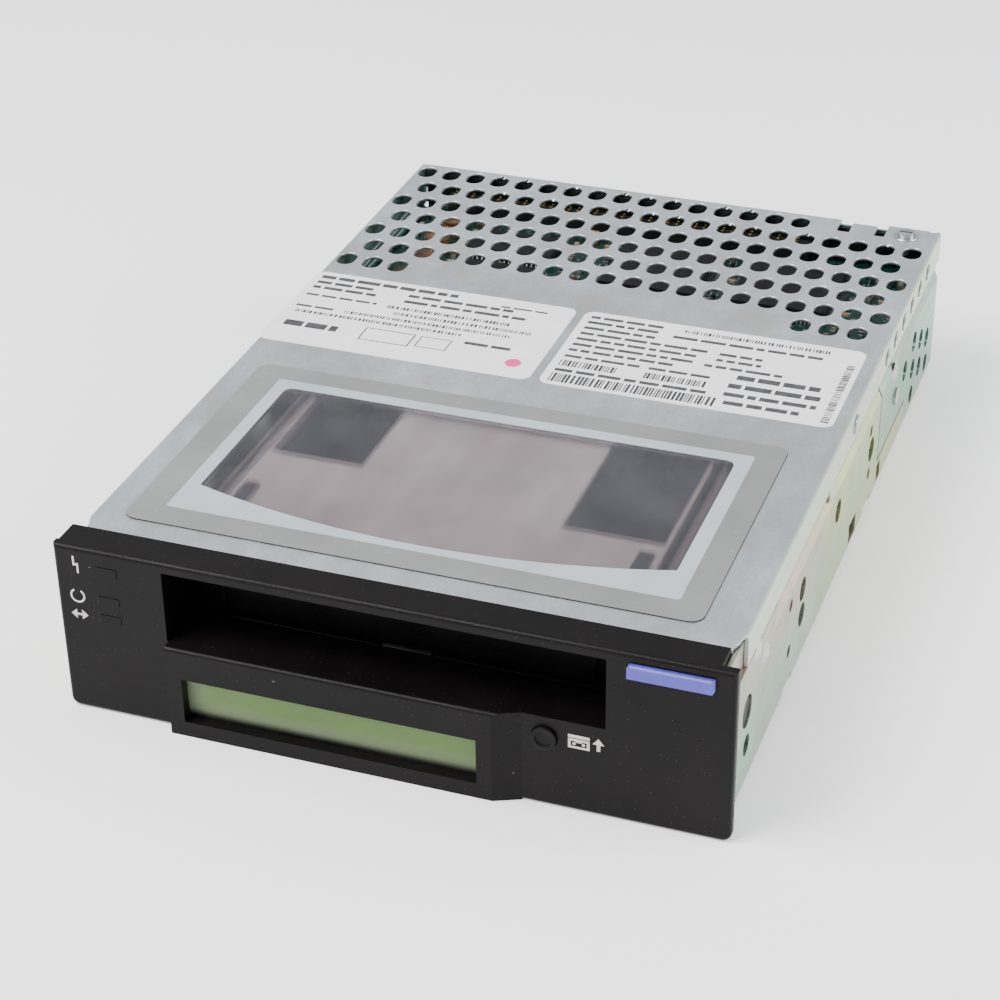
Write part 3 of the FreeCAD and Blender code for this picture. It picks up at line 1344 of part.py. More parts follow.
def make_threading():
    """Two stacked loading rings that turn opposite ways, their gears, motor and rollers."""
    supply_direction = 90 + pair_angle
    takeup_direction = 90 - pair_angle
    start = SIZES["trolley_start"]
    swing = SIZES["ring_swing"]
    angles = {"supply": -90 - start, "takeup": -90 + start}
    make_ring("supply_loading_ring", ring_low, supply_gear_at, supply_direction,
              angles["supply"], -swing)
    make_ring("takeup_loading_ring", upper_ring_low, takeup_gear_at, takeup_direction,
              angles["takeup"], swing)
    for label, angle in angles.items():
        x, y = polar(drum_centre, s.trolley_radius, angle)
        roller = rod(s.roller_radius - 0.5, (x, y, roller_low), s.trolley_top - 0.6 - roller_low)
        flanges = [rod(s.roller_radius, (x, y, z), 0.7)
                   for z in (roller_low, s.trolley_top - 1.3)]
        bore = rod(1.0 + s.running_gap, (x, y, roller_low - 1), s.trolley_top)
        piece(f"{label}_guide_roller", cut(fuse(roller, *flanges), bore))
    make_ring_gears(supply_direction, takeup_direction)


def make_ring_gears(supply_direction, takeup_direction):
    """Two gears that mesh with each other above the rings and each with its own ring below."""
    teeth = SIZES["gear_teeth"]
    ring_teeth = SIZES["ring_teeth"]
    thick = SIZES["ring_thick"]
    bore = SIZES["pivot_radius"] + SIZES["running_gap"]
    upper_thick = SIZES["gear_thick"]
    supply_phase = mesh_phase(supply_direction, ring_teeth, supply_direction, teeth)
    across = math.degrees(math.atan2((takeup_gear_at[1] - supply_gear_at[1]).value,
                                     (takeup_gear_at[0] - supply_gear_at[0]).value))
    takeup_low_phase = mesh_phase(takeup_direction, ring_teeth, takeup_direction, teeth)
    supply_top_phase = supply_phase
    takeup_top_phase = mesh_phase(supply_top_phase, teeth, across, teeth)
    plans = (
        ("supply_ring_gear", supply_gear_at, ring_low, supply_phase, supply_top_phase),
        ("takeup_ring_gear", takeup_gear_at, upper_ring_low, takeup_low_phase, takeup_top_phase),
    )
    for label, at, level, low_phase, top_phase in plans:
        lower = feature("LowerGear", gear_shape(teeth, low_phase, thick, bore), (*at, level))
        upper = feature("UpperGear", gear_shape(teeth, top_phase, upper_thick, bore),
                        (*at, mesh_low))
        hub = rod(3.0, (*at, s.deck_top + 0.3), mesh_low - s.deck_top - 0.2)
        hole = rod(s.pivot_radius + s.running_gap, (*at, s.deck_top), mesh_low)
        piece(label, fuse(lower, upper, cut(hub, hole)))
    pinion_phase = mesh_phase(supply_top_phase, teeth, MOTOR_DIRECTION, SIZES["pinion_teeth"])
    shape = gear_shape(SIZES["pinion_teeth"], pinion_phase, upper_thick, 0.75)
    piece("thread_pinion", feature("ThreadPinion", shape, (*thread_motor_at, mesh_low)))
    make_motor("thread_motor", thread_motor_at, mesh_low + s.gear_thick)


tension_pivot = (-36.0, 60.0)
tension_post = (-22.5, 68.0)
cleaner_pivot = (22.0, 124.5)
cleaner_wheel = (3.0, 122.2)
pivot_spots = [loader_gear_at, supply_gear_at, takeup_gear_at, tension_pivot, cleaner_pivot]


def link(start, end, width, low, thick):
    """A flat lever between two places: a bar with round ends."""
    dx = end[0] - start[0]
    dy = end[1] - start[1]
    angle = math.degrees(math.atan2(dy, dx))
    bar = doc.addObject("Part::Box", "Bar")
    bind(bar, "Length", math.hypot(dx, dy))
    bind(bar, "Width", width)
    bind(bar, "Height", thick)
    turn = Rotation(Vector(0, 0, 1), angle)
    side = turn.multVec(Vector(0, -dim(width).value / 2, 0))
    place(bar, (start[0] + side.x, start[1] + side.y, low), turn)
    ends = [rod(dim(width) / 2, (x, y, low), thick) for x, y in (start, end)]
    return fuse(bar, *ends)


def make_arms():
    """The tension arm by the supply reel and the cleaning arm behind the drum."""
    low = s.deck_top + 0.5
    arm = link(tension_pivot, tension_post, 4.4, low, 1.2)
    post = rod(1.2, (*tension_post, low), s.trolley_top - low)
    hole = rod(s.pivot_radius + s.running_gap, (*tension_pivot, 0), 30)
    piece("tension_arm", cut(fuse(arm, post), hole))
    high = mesh_low + s.gear_thick + 1.0
    cleaner = link(cleaner_pivot, cleaner_wheel, 4.4, high, 1.2)
    boss = rod(2.6, (*cleaner_pivot, s.deck_top + 0.5), high - s.deck_top)
    axle = rod(0.8, (*cleaner_wheel, high), 9.5)
    bore = rod(s.pivot_radius + s.running_gap, (*cleaner_pivot, 0), 40)
    piece("cleaning_arm", cut(fuse(cleaner, boss, axle), bore))
    wheel = rod(3.2, (*cleaner_wheel, high + 1.4), 7.6)
    wheel_bore = rod(0.8 + s.running_gap, (*cleaner_wheel, high), 12)
    piece("cleaning_wheel", cut(wheel, wheel_bore))
    heights = {0: s.cam_low + s.rack_sheet, 1: mesh_low + s.gear_thick,
               2: mesh_low + s.gear_thick, 3: low + 1.2, 4: high + 1.2}
    pins = []
    for index, spot in enumerate(pivot_spots):
        top = heights[index]
        pins.append(rod(s.pivot_radius, (*spot, s.deck_under), top - s.deck_under + 0.5))
    guides = []
    for side in (-1, 1):
        x = middle + side * s.guide_spread
        stem = rod(1.2, (x, s.guide_y, s.deck_top), s.trolley_top - s.deck_top)
        collars = [rod(2.2, (x, s.guide_y, z), 1.0) for z in (s.deck_top, s.trolley_top - 1)]
        guides.append(fuse(stem, *collars))
    piece("deck_pins", group(*pins, *guides))


# ---- boards and connectors -------------------------------------------------------------------


def make_boards():
    """The controller board under the vents and the interface board at the rear."""
    edge = half - s.board_margin
    rear = s.bay_depth - s.board_rear - 1.4
    board = body("controller_board")
    outline = rectangle((-edge, s.controller_front), (edge, rear))
    pad(board, "XY", s.controller_low, s.board_thick, [outline])
    holes = [(spot, s.screw_radius + 0.1) for spot in board_posts]
    pocket(board, "XY", s.controller_low - 1, s.board_thick + 2, [], holes)
    lower = body("interface_board")
    pad(lower, "XY", s.interface_low, s.board_thick,
        [rectangle((-edge, s.interface_front), (edge, rear))])
    posts = []
    screws = []
    for x, y in board_posts:
        posts.append(rod(2.4, (x, y, s.frame_sheet), s.controller_low - s.frame_sheet))
        head = rod(s.screw_head, (x, y, s.controller_low + s.board_thick), s.screw_head_thick)
        shank = rod(s.screw_radius, (x, y, s.controller_low), s.board_thick)
        screws.append(fuse(head, shank))
    holes = [(spot, 2.5) for spot in board_posts]
    pocket(lower, "XY", s.interface_low - 1, s.board_thick + 2, [], holes)
    posts += [rod(2.0, (x, y, s.frame_sheet), s.interface_low - s.frame_sheet)
              for x in (-50, 50) for y in (s.interface_front + 5, s.interface_front + 38)]
    piece("board_posts", group(*posts))
    return screws


def make_chips():
    top = s.controller_low + s.board_thick
    packages = ((5.0, 173.0, 26.0, 26.0, 3.2), (39.5, 173.0, 26.0, 26.0, 3.2),
                (-36.0, 176.0, 24.0, 13.0, 2.8), (-36.0, 157.0, 24.0, 13.0, 2.8),
                (6.0, 141.5, 28.0, 11.0, 2.8), (40.0, 141.5, 28.0, 11.0, 2.8),
                (-31.0, 140.5, 18.0, 9.0, 2.4))
    chips = [block((x - w / 2, x + w / 2), (y - d / 2, y + d / 2), (top, top + tall))
             for x, y, w, d, tall in packages]
    coils = [rod(3.4, (-56.0, y, top), 4.6) for y in (146.0, 158.0, 170.0, 182.0)]
    piece("board_components", group(*chips, *coils))
    header = block((-62, 40), (193.2, 196.8), (top, top + 5.0))
    piece("board_header", header)


def make_connectors():
    """Interface, power and option connectors at the rear edge of the interface board."""
    deck = interface_deck
    back = shield_back + 0.6
    body_front = back - 14
    shell = block((interface_left, interface_right), (body_front, back), (deck, deck + 9.0))
    mouth = block((interface_left + 5, interface_right - 5), (back - 7, back + 1),
                  (deck + 2.0, deck + 7.0))
    tongue = block((interface_left + 7, interface_right - 7), (back - 8, back - 1),
                   (deck + 3.8, deck + 5.2))
    piece("interface_connector", fuse(cut(shell, mouth), tongue))
    case = block((power_left, power_right), (back - 12, back), (deck, deck + 11.0))
    well = block((power_left + 1.4, power_right - 1.4), (back - 9, back + 1),
                 (deck + 1.4, deck + 9.6))
    pins = [rod(1.05, (power_left + 3.4 + 5.08 * i, back - 10, deck + 5.5), 8.0, "y")
            for i in range(4)]
    piece("power_connector", fuse(cut(case, well), *pins))
    base = block((jumper_left, jumper_right), (back - 9, back - 6.4), (deck, deck + 6.0))
    pegs = [block((jumper_left + 1.2 + 2.54 * i, jumper_left + 1.84 + 2.54 * i),
                  (back - 7, back), (deck + z, deck + z + 0.64))
            for i in range(6) for z in (1.4, 3.94)]
    piece("jumper_block", fuse(base, *pegs))


def make_flat_cable():
    """The flat cable from the deck's rear up to the controller board's front edge."""
    cable = body("flat_cable")
    t = 0.3
    start = s.deck_top
    near = s.lobe_rear - 9
    top = s.controller_low
    outline = [(near, start), (near + 12, start), (near + 12, top - 1), (near + 16, top - 1),
               (near + 16, top), (near + 12 - t, top), (near + 12 - t, start + t),
               (near, start + t)]
    pad(cable, "YZ", 6, 18, [outline])
    return cable


def make_case_screws():
    """Pan-head screws: one through the cover's top, the rest through its flanges and wings."""
    top = s.chassis_height
    y = s.bay_depth - s.vent_rear_margin
    screws = []
    head = rod(s.screw_head, (s.cover_screw_x, y, top), s.screw_head_thick)
    shank = rod(s.screw_radius, (s.cover_screw_x, y, top - 5), 5)
    slot = block((s.cover_screw_x - 1.6, s.cover_screw_x + 1.6), (y - 0.3, y + 0.3),
                 (top + 0.7, top + 3))
    screws.append(cut(fuse(head, shank), slot))
    spots = ((s.flange_screw_y, s.flange_screw_z, s.screw_head_thick * 0.4),
             (s.shield_screw_y, s.shield_screw_z, s.screw_head_thick * 0.4))
    for y, z, proud in spots:
        for side in (-1, 1):
            outer = half if side > 0 else -half - proud
            inner = half - 3.2 if side > 0 else -half
            cap = rod(s.screw_head, (outer, y, z), proud, "x")
            stem = rod(s.screw_radius, (inner, y, z), 3.2, "x")
            screws.append(fuse(cap, stem))
    piece("case_screws", group(*screws))


board_posts = [(-64.0, 136.0), (64.0, 136.0), (-64.0, 190.0), (62.0, 187.0)]

make_base_frame()
make_rear_shield()
make_top_cover()
make_window_film()
make_front_bezel()
make_front_trim()
make_front_board()
make_unload_button()
make_door()
make_loader_plates()
make_cam_plates()
make_basket()
make_loader_gears()
make_deck_casting()
inner_screws = make_deck_mounts()
stators = make_reels()
stators.append(make_scanner())
piece("motor_stators", group(*stators))
make_threading()
make_arms()
inner_screws += make_boards()
piece("inner_screws", group(*inner_screws))
make_chips()
make_connectors()
make_flat_cable()
make_case_screws()
doc.recompute()

# ---- checks and export -----------------------------------------------------------------------

failed = [item.Name for item in doc.Objects if {"Invalid", "Error"} & set(item.State)]
if failed:
    raise RuntimeError(f"these objects failed: {failed}")
for item in pockets:
    if item.Shape.Volume > item.BaseFeature.Shape.Volume - 1e-3:
        raise RuntimeError(f"{item.Name} of {item.getParentGeoFeatureGroup().Label} cuts nothing")
for item in pieces:
    if item.Shape.isNull() or not item.Shape.isValid():
        raise RuntimeError(f"{item.Label} has no valid shape")
    item.Shape.exportStep(f"parts/{item.Label}.step")
print(len(pieces), "pieces")
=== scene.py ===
import math
import random

import bmesh
import bpy
from mathutils import Matrix, Vector


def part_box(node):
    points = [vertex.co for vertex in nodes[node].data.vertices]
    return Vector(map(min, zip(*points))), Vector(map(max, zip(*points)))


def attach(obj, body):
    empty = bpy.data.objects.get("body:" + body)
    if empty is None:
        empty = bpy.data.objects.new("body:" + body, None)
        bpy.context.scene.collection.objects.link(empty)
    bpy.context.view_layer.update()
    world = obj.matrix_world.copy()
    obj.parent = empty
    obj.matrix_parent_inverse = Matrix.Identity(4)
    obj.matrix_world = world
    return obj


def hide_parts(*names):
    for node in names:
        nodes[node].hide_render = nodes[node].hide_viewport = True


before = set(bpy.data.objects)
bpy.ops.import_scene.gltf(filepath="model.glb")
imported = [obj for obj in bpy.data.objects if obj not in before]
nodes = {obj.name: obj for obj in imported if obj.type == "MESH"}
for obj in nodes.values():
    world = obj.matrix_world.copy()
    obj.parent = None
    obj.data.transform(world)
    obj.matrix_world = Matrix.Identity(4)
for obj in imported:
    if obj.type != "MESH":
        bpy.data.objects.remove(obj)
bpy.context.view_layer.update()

# ---- base pan and rear shield ------------------------------------------------------------
# Both are folded from 1 mm steel sheet, zinc plated and dipped, which leaves faint yellow,
# pink and green clouds, with fine streaks along the way it was rolled. The shield is darker
# and bluer.


def node(tree, kind, **settings):
    item = tree.nodes.new(kind)
    for name, value in settings.items():
        if name in item.inputs:
            item.inputs[name].default_value = value
        else:
            setattr(item, name, value)
    return item


def start_finish(name):
    """A new material with its node tree, its shader and coordinates in metres."""
    surface = bpy.data.materials.new(name)
    surface.use_nodes = True
    tree = surface.node_tree
    return surface, tree, tree.nodes["Principled BSDF"], node(tree, "ShaderNodeTexCoord")


def spread(tree, source, from_low, from_high, to_low, to_high):
    """A value carried from one range to another and held inside it."""
    item = node(tree, "ShaderNodeMapRange")
    sockets = ("From Min", "From Max", "To Min", "To Max")
    for socket, value in zip(sockets, (from_low, from_high, to_low, to_high)):
        item.inputs[socket].default_value = value
    tree.links.new(source, item.inputs["Value"])
    return item.outputs["Result"]


def noise_range(tree, place, scale, low, high, detail=3.0, stretch=(1, 1, 1), shift=0.0):
    """Noise between two values; scale is in repeats a metre, and stretch draws it out."""
    mapping = node(tree, "ShaderNodeMapping", Scale=stretch, Location=(shift, shift, shift))
    noise = node(tree, "ShaderNodeTexNoise", Scale=scale, Detail=detail)
    tree.links.new(place.outputs["Object"], mapping.inputs["Vector"])
    tree.links.new(mapping.outputs["Vector"], noise.inputs["Vector"])
    return spread(tree, noise.outputs["Fac"], 0.32, 0.68, low, high)


def blend(tree, amount, first, second):
    """A colour between two, each a colour or the output of another node."""
    mix = node(tree, "ShaderNodeMix", data_type="RGBA")
    if isinstance(amount, bpy.types.NodeSocket):
        tree.links.new(amount, mix.inputs[0])
    else:
        mix.inputs[0].default_value = amount
    for socket, value in ((mix.inputs[6], first), (mix.inputs[7], second)):
        if isinstance(value, bpy.types.NodeSocket):
            tree.links.new(value, socket)
        else:
            socket.default_value = (*value, 1)
    return mix.outputs[2]


def grain(tree, shader, height, strength, distance=0.0001):
    relief = node(tree, "ShaderNodeBump", Strength=strength, Distance=distance)
    tree.links.new(height, relief.inputs["Height"])
    tree.links.new(relief.outputs["Normal"], shader.inputs["Normal"])


def dotted(tree, place, scale, reach, strength, stretch=(1, 1, 1)):
    """Scattered specks of dust or pits, from 0 between them to strength on them."""
    mapping = node(tree, "ShaderNodeMapping", Scale=stretch)
    cells = node(tree, "ShaderNodeTexVoronoi", Scale=scale, Randomness=1.0)
    tree.links.new(place.outputs["Object"], mapping.inputs["Vector"])
    tree.links.new(mapping.outputs["Vector"], cells.inputs["Vector"])
    return spread(tree, cells.outputs["Distance"], reach * 0.6, reach, strength, 0.0)


def dress(piece, surface):
    piece.data.materials.clear()
    piece.data.materials.append(surface)


def make_plated_zinc(name, dull, bright, pink, green, yellowing):
    """Zinc in two greys under a tinted film; yellowing is how strong the yellow gets."""
    surface, tree, shader, place = start_finish(name)
    clouds = blend(tree, noise_range(tree, place, 26, 0, 1, 5), dull, bright)
    tints = blend(tree, noise_range(tree, place, 17, 0, 1, 2, (1, 0.6, 2)), pink, green)
    yellow_patches = noise_range(tree, place, 9, 0, yellowing, 3, shift=0.4)
    yellow = (0.78, 0.74, 0.18)
    film_strength = 0.6
    tone = blend(tree, film_strength, clouds, blend(tree, yellow_patches, tints, yellow))
    stains = noise_range(tree, place, 120, 0, 0.5, 6, shift=0.9)
    stain_grey = (0.34, 0.34, 0.30)
    tree.links.new(blend(tree, stains, tone, stain_grey), shader.inputs["Base Color"])
    shader.inputs["Metallic"].default_value = 0.82
    shader.inputs["Specular Tint"].default_value = (0.74, 0.85, 0.76, 1)
    tree.links.new(noise_range(tree, place, 700, 0.20, 0.34, 3, (1, 0.04, 1)), shader.inputs["Roughness"])
    grain(tree, shader, noise_range(tree, place, 900, 0, 1, 3, (1, 0.05, 1)), 0.10)
    return surface


dress(nodes["base_frame"], make_plated_zinc("plated_zinc", (0.37, 0.41, 0.34), (0.54, 0.60, 0.50),
                                            (0.66, 0.36, 0.40), (0.18, 0.64, 0.50), 0.8))
dress(nodes["rear_shield"], make_plated_zinc("blue_zinc", (0.17, 0.27, 0.26), (0.31, 0.45, 0.43),
                                             (0.34, 0.36, 0.46), (0.05, 0.50, 0.46), 0.35))

# ---- side rivets -------------------------------------------------------------------------
# Bright steel rivets hold the loader's side plates to the base pan. Each is a flat dome
# pressed over, with a small dimple in its middle where the punch sat.


def finish(name, dark, light, scale, gloss, metal=0.0, bump=0.0, bump_scale=1500.0,
           stretch=(1, 1, 1), shine=0.5):
    """Two tones in clouds, an uneven gloss and a fine grain; shine is how much it mirrors."""
    surface, tree, shader, place = start_finish(name)
    shader.inputs["Metallic"].default_value = metal
    shader.inputs["Specular IOR Level"].default_value = shine
    clouds = noise_range(tree, place, scale, 0, 1, 5, stretch)
    tree.links.new(blend(tree, clouds, dark, light), shader.inputs["Base Color"])
    sheen = noise_range(tree, place, scale * 2.3, gloss[0], gloss[1], 4, stretch)
    tree.links.new(sheen, shader.inputs["Roughness"])
    if bump:
        grain(tree, shader, noise_range(tree, place, bump_scale, 0, 1, 2, stretch), bump)
    return surface


def add_piece(name, mesh, surface, body="chassis"):
    mesh.name = name
    piece = bpy.data.objects.new(name, mesh)
    bpy.context.scene.collection.objects.link(piece)
    dress(piece, surface)
    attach(piece, body)
    return piece


def mesh_from(build, name, smooth=False):
    """Closes a mesh that is being built."""
    mesh = bpy.data.meshes.new(name)
    build.to_mesh(mesh)
    build.free()
    if smooth:
        for polygon in mesh.polygons:
            polygon.use_smooth = True
    return mesh


def turned(name, spots, surface, steps=20, body="chassis"):
    """Lathe-turned parts: each spot is a place, the way it points, and a profile of
    (radius, height) pairs from its middle outwards, all in millimetres."""
    build = bmesh.new()
    for place, axis, profile in spots:
        turn = Vector(axis).to_track_quat("Z", "Y").to_matrix()
        rows = []
        for radius, height in profile:
            angles = (2 * math.pi * step / steps for step in range(steps)) if radius else (0.0,)
            ring = [(radius * math.cos(a), radius * math.sin(a), height) for a in angles]
            rows.append([build.verts.new((Vector(place) + turn @ Vector(p)) / 1000) for p in ring])
        for inner, outer in zip(rows, rows[1:]):
            for step in range(steps):
                ahead = (step + 1) % steps
                if len(inner) == 1 or len(outer) == 1:
                    tip, rim = (inner, outer) if len(inner) == 1 else (outer, inner)
                    build.faces.new((tip[0], rim[step], rim[ahead]))
                else:
                    build.faces.new((inner[step], outer[step], outer[ahead], inner[ahead]))
    bmesh.ops.recalc_face_normals(build, faces=build.faces)
    mesh = mesh_from(build, name, smooth=True)
    mesh.set_sharp_from_angle(angle=math.radians(50))
    return add_piece(name, mesh, surface, body)


bright_steel = finish("bright_steel", (0.42, 0.42, 0.42), (0.56, 0.56, 0.56), 200, (0.18, 0.32),
                      metal=0.95)
rivet = ((0, 0.18), (0.4, 0.2), (0.7, 0.45), (1.2, 0.45), (1.7, 0.24), (1.9, 0.02), (2.2, 0.02),
         (2.35, 0.10), (2.6, 0.0))
rivet_spots = ((14.8, 29.0), (80.8, 29.0), (149.0, 24.5), (22.0, 24.0))
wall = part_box("base_frame")[1][0] * 1000
turned("side_rivets", [((side * wall, y, z), (side, 0, 0), rivet)
                       for side in (-1, 1) for y, z in rivet_spots], bright_steel)

# ---- deck --------------------------------------------------------------------------------
# The deck is a die-cast alloy plate on four rubber mounts. Ground steel pins and brass
# bushes are pressed into it, and everything that guides the tape stands on it.

# The deck's colour is painted near black, darker than bare alloy: painted shade for the deck lying under the
# basket.
alloy_painted_shade = finish("alloy_painted_shade", (0.050, 0.050, 0.058), (0.085, 0.085, 0.095), 90, (0.38, 0.55),
                    metal=0.85, bump=0.06, bump_scale=900)
dress(nodes["deck_casting"], alloy_painted_shade)
mount_rubber = finish("mount_rubber", (0.012, 0.012, 0.012), (0.03, 0.03, 0.03), 200, (0.7, 0.85))
dress(nodes["deck_mounts"], mount_rubber)
dress(nodes["deck_pins"], bright_steel)
brass = finish("brass", (0.55, 0.40, 0.16), (0.66, 0.50, 0.22), 150, (0.25, 0.4), metal=1.0)
dress(nodes["reel_bushes"], brass)

# ---- reel motors and hubs ----------------------------------------------------------------
# Two flat motors turn the reels: wound stators on the deck, blackened steel rotors over
# them, and moulded hubs with splines that fit the cartridge's reels.

dark_steel = finish("dark_steel", (0.08, 0.08, 0.085), (0.13, 0.13, 0.14), 120, (0.35, 0.5), metal=0.8)
copper = finish("copper_wire", (0.42, 0.17, 0.08), (0.58, 0.27, 0.13), 900, (0.3, 0.45),
                metal=0.85, bump=0.3, bump_scale=4000)
black_moulding = finish("black_moulding", (0.008, 0.008, 0.009), (0.014, 0.014, 0.015), 60,
                        (0.34, 0.46), bump=0.15, bump_scale=2000)
dress(nodes["motor_stators"], copper)
for name in ("supply_rotor", "takeup_rotor"):
    dress(nodes[name], dark_steel)
for name in ("supply_hub", "takeup_hub"):
    dress(nodes[name], black_moulding)

# ---- scanner drum ------------------------------------------------------------------------
# The scanner is turned from aluminium and lapped to a mirror: a fixed base, a drum that
# spins on top, and a dark steel motor rotor under it, all leaning a little.

turned_alloy = finish("turned_alloy", (0.66, 0.66, 0.68), (0.78, 0.78, 0.79), 60, (0.12, 0.24),
                      metal=1.0, bump=0.06, bump_scale=3000, stretch=(0.2, 0.2, 1))
dress(nodes["scanner_base"], turned_alloy)
dress(nodes["scanner_drum"], turned_alloy)
dress(nodes["scanner_rotor"], dark_steel)

# ---- loading rings and tape guides -------------------------------------------------------
# Two steel rings carry guide rollers that draw the tape round the drum. Acetal gears and
# brass pinions turn them, and two small motors stand on the deck beside them.

acetal = finish("acetal", (0.72, 0.70, 0.64), (0.80, 0.78, 0.72), 80, (0.38, 0.5))
for name in ("supply_loading_ring", "takeup_loading_ring", "supply_guide_roller", "takeup_guide_roller",
             "tension_arm", "cleaning_arm"):
    dress(nodes[name], bright_steel)
for name in ("supply_ring_gear", "takeup_ring_gear", "loader_gear", "cleaning_wheel"):
    dress(nodes[name], acetal)
for name in ("load_pinion", "thread_pinion"):
    dress(nodes[name], brass)
for name in ("load_motor", "thread_motor"):
    dress(nodes[name], dark_steel)

# ---- cartridge loader --------------------------------------------------------------------
# The basket that carries the cartridge is pressed from thin sheet with a warm, pinkish
# chromate. Under its top plate the colour turns dark as painted shade. Its pins run in
# slots of the side plates, and two cam plates move it.


def split(tree, place):
    """The three coordinates of a place, each by itself."""
    parts = node(tree, "ShaderNodeSeparateXYZ")
    tree.links.new(place.outputs["Object"], parts.inputs[0])
    return parts.outputs


def make_warm_chromate():
    surface, tree, shader, place = start_finish("warm_chromate")
    pale, paler = (0.84, 0.69, 0.64), (0.94, 0.82, 0.77)
    clouds = blend(tree, noise_range(tree, place, 30, 0, 1, 4), pale, paler)
    smears = noise_range(tree, place, 120, 0, 0.5, 3, (1, 0.15, 1))
    tone = blend(tree, smears, clouds, (0.60, 0.46, 0.44))
    # Below about 34 mm the colour is painted dark: painted shade under the basket's top plate.
    shade_below_top = spread(tree, split(tree, place)["Z"], 0.0335, 0.0350, 1.0, 0.0)
    painted_shade_dark = (0.055, 0.048, 0.062)
    tree.links.new(blend(tree, shade_below_top, tone, painted_shade_dark), shader.inputs["Base Color"])
    shader.inputs["Metallic"].default_value = 0.25
    tree.links.new(noise_range(tree, place, 300, 0.35, 0.5, 3, (1, 0.08, 1)), shader.inputs["Roughness"])
    grain(tree, shader, noise_range(tree, place, 900, 0, 1, 3, (1, 0.06, 1)), 0.1)
    return surface


warm_chromate = make_warm_chromate()
for name in ("cartridge_basket", "left_loader_plate", "right_loader_plate", "left_cam_plate",
             "right_cam_plate", "cam_cross_bar"):
    dress(nodes[name], warm_chromate)
dress(nodes["basket_pins"], bright_steel)
dress(nodes["inner_screws"], bright_steel)

# ---- cartridge springs -------------------------------------------------------------------
# Two blued steel leaf springs lie on the basket's top near its front corners. Each is a
# strip with a raised bow, spot-welded at one end, and presses the cartridge down.


def boxes(name, spans, surface, body="chassis", bevel=0.0):
    """One mesh of upright boxes, each ((x0, x1), (y0, y1), (z0, z1)) in millimetres."""
    build = bmesh.new()
    for span in spans:
        size = [(high - low) / 1000 for low, high in span]
        centre = [(low + high) / 2 for low, high in span]
        matrix = Matrix.Translation(Vector(centre) / 1000) @ Matrix.Diagonal((*size, 1))
        bmesh.ops.create_cube(build, size=1, matrix=matrix)
    if bevel:
        bmesh.ops.bevel(build, geom=build.edges[:], offset=bevel / 1000, segments=2, affect="EDGES")
    return add_piece(name, mesh_from(build, name), surface, body)


def millimetres(box):
    """The low and the high corner of a box given in metres."""
    return [Vector(corner) * 1000 for corner in box]


basket_low, basket_high = millimetres(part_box("cartridge_basket"))
basket_top = basket_high.z
leaf_start, leaf_end, leaf_bow, leaf_thick = 8.0, 20.0, 0.55, 0.25
leaf_length = leaf_end - leaf_start
leaves = []
for across in ((basket_low.x + 1.6, basket_low.x + 5.0), (basket_high.x - 5.0, basket_high.x - 1.6)):
    y = basket_low.y + leaf_start
    while y < basket_low.y + leaf_end:
        rise = leaf_bow * math.sin(math.pi * (y - basket_low.y - leaf_start) / leaf_length)
        leaves.append((across, (y, y + 1.05), (basket_top + rise, basket_top + rise + leaf_thick)))
        y += 1.0
boxes("cartridge_springs", leaves, dark_steel, body="basket")

# ---- boards ------------------------------------------------------------------------------
# The controller board lies under the vents, with the interface board below it and a narrow
# board behind the bezel. They are glass-epoxy under a glossy green resist, which lets the
# copper tracks show as paler lines.


def make_green_resist():
    surface, tree, shader, place = start_finish("green_resist")
    tracks = node(tree, "ShaderNodeTexVoronoi", feature="DISTANCE_TO_EDGE", Scale=330.0, Randomness=0.85)
    tree.links.new(place.outputs["Object"], tracks.inputs["Vector"])
    lines = spread(tree, tracks.outputs["Distance"], 0.03, 0.07, 1.0, 0.0)
    dark_green, green, track_green = (0.006, 0.034, 0.026), (0.010, 0.052, 0.038), (0.022, 0.11, 0.08)
    clouds = blend(tree, noise_range(tree, place, 160, 0, 1, 3), dark_green, green)
    tone = blend(tree, lines, clouds, track_green)
    pads = dotted(tree, place, 520, 0.16, 0.9)
    solder = (0.50, 0.52, 0.50)
    tree.links.new(blend(tree, pads, tone, solder), shader.inputs["Base Color"])
    tree.links.new(noise_range(tree, place, 300, 0.25, 0.4), shader.inputs["Roughness"])
    grain(tree, shader, lines, 0.3)
    return surface


green_resist = make_green_resist()
for name in ("front_board", "controller_board", "interface_board"):
    dress(nodes[name], green_resist)
dress(nodes["board_posts"], bright_steel)
amber_film = finish("amber_film", (0.42, 0.20, 0.03), (0.5, 0.26, 0.05), 100, (0.25, 0.35))
dress(nodes["flat_cable"], amber_film)

# ---- chips -------------------------------------------------------------------------------
# Moulded epoxy packages, matt black with rounded edges, each soldered down by two or four
# combs of bent tin-plated leads.

board_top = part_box("controller_board")[1][2] * 1000
chip_epoxy = finish("chip_epoxy", (0.006, 0.006, 0.007), (0.012, 0.012, 0.013), 300, (0.45, 0.6),
                    bump=0.2, bump_scale=2500)
tin_plate = finish("tin_plate", (0.55, 0.56, 0.57), (0.70, 0.71, 0.72), 300, (0.22, 0.36), metal=0.95)
packages = [(5.0, 173.0, 26.0, 26.0, 3.2), (39.5, 173.0, 26.0, 26.0, 3.2),
            (-36.0, 176.0, 24.0, 13.0, 2.8), (-36.0, 157.0, 24.0, 13.0, 2.8),
            (6.0, 141.5, 28.0, 11.0, 2.8), (40.0, 141.5, 28.0, 11.0, 2.8),
            (-31.0, 140.5, 18.0, 9.0, 2.4)]
standoff = 0.3
chip_spans = [((x - w / 2, x + w / 2), (y - d / 2, y + d / 2), (board_top + standoff, board_top + tall))
              for x, y, w, d, tall in packages]
chips = boxes("chips", chip_spans, chip_epoxy, bevel=0.35)
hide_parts("board_components")


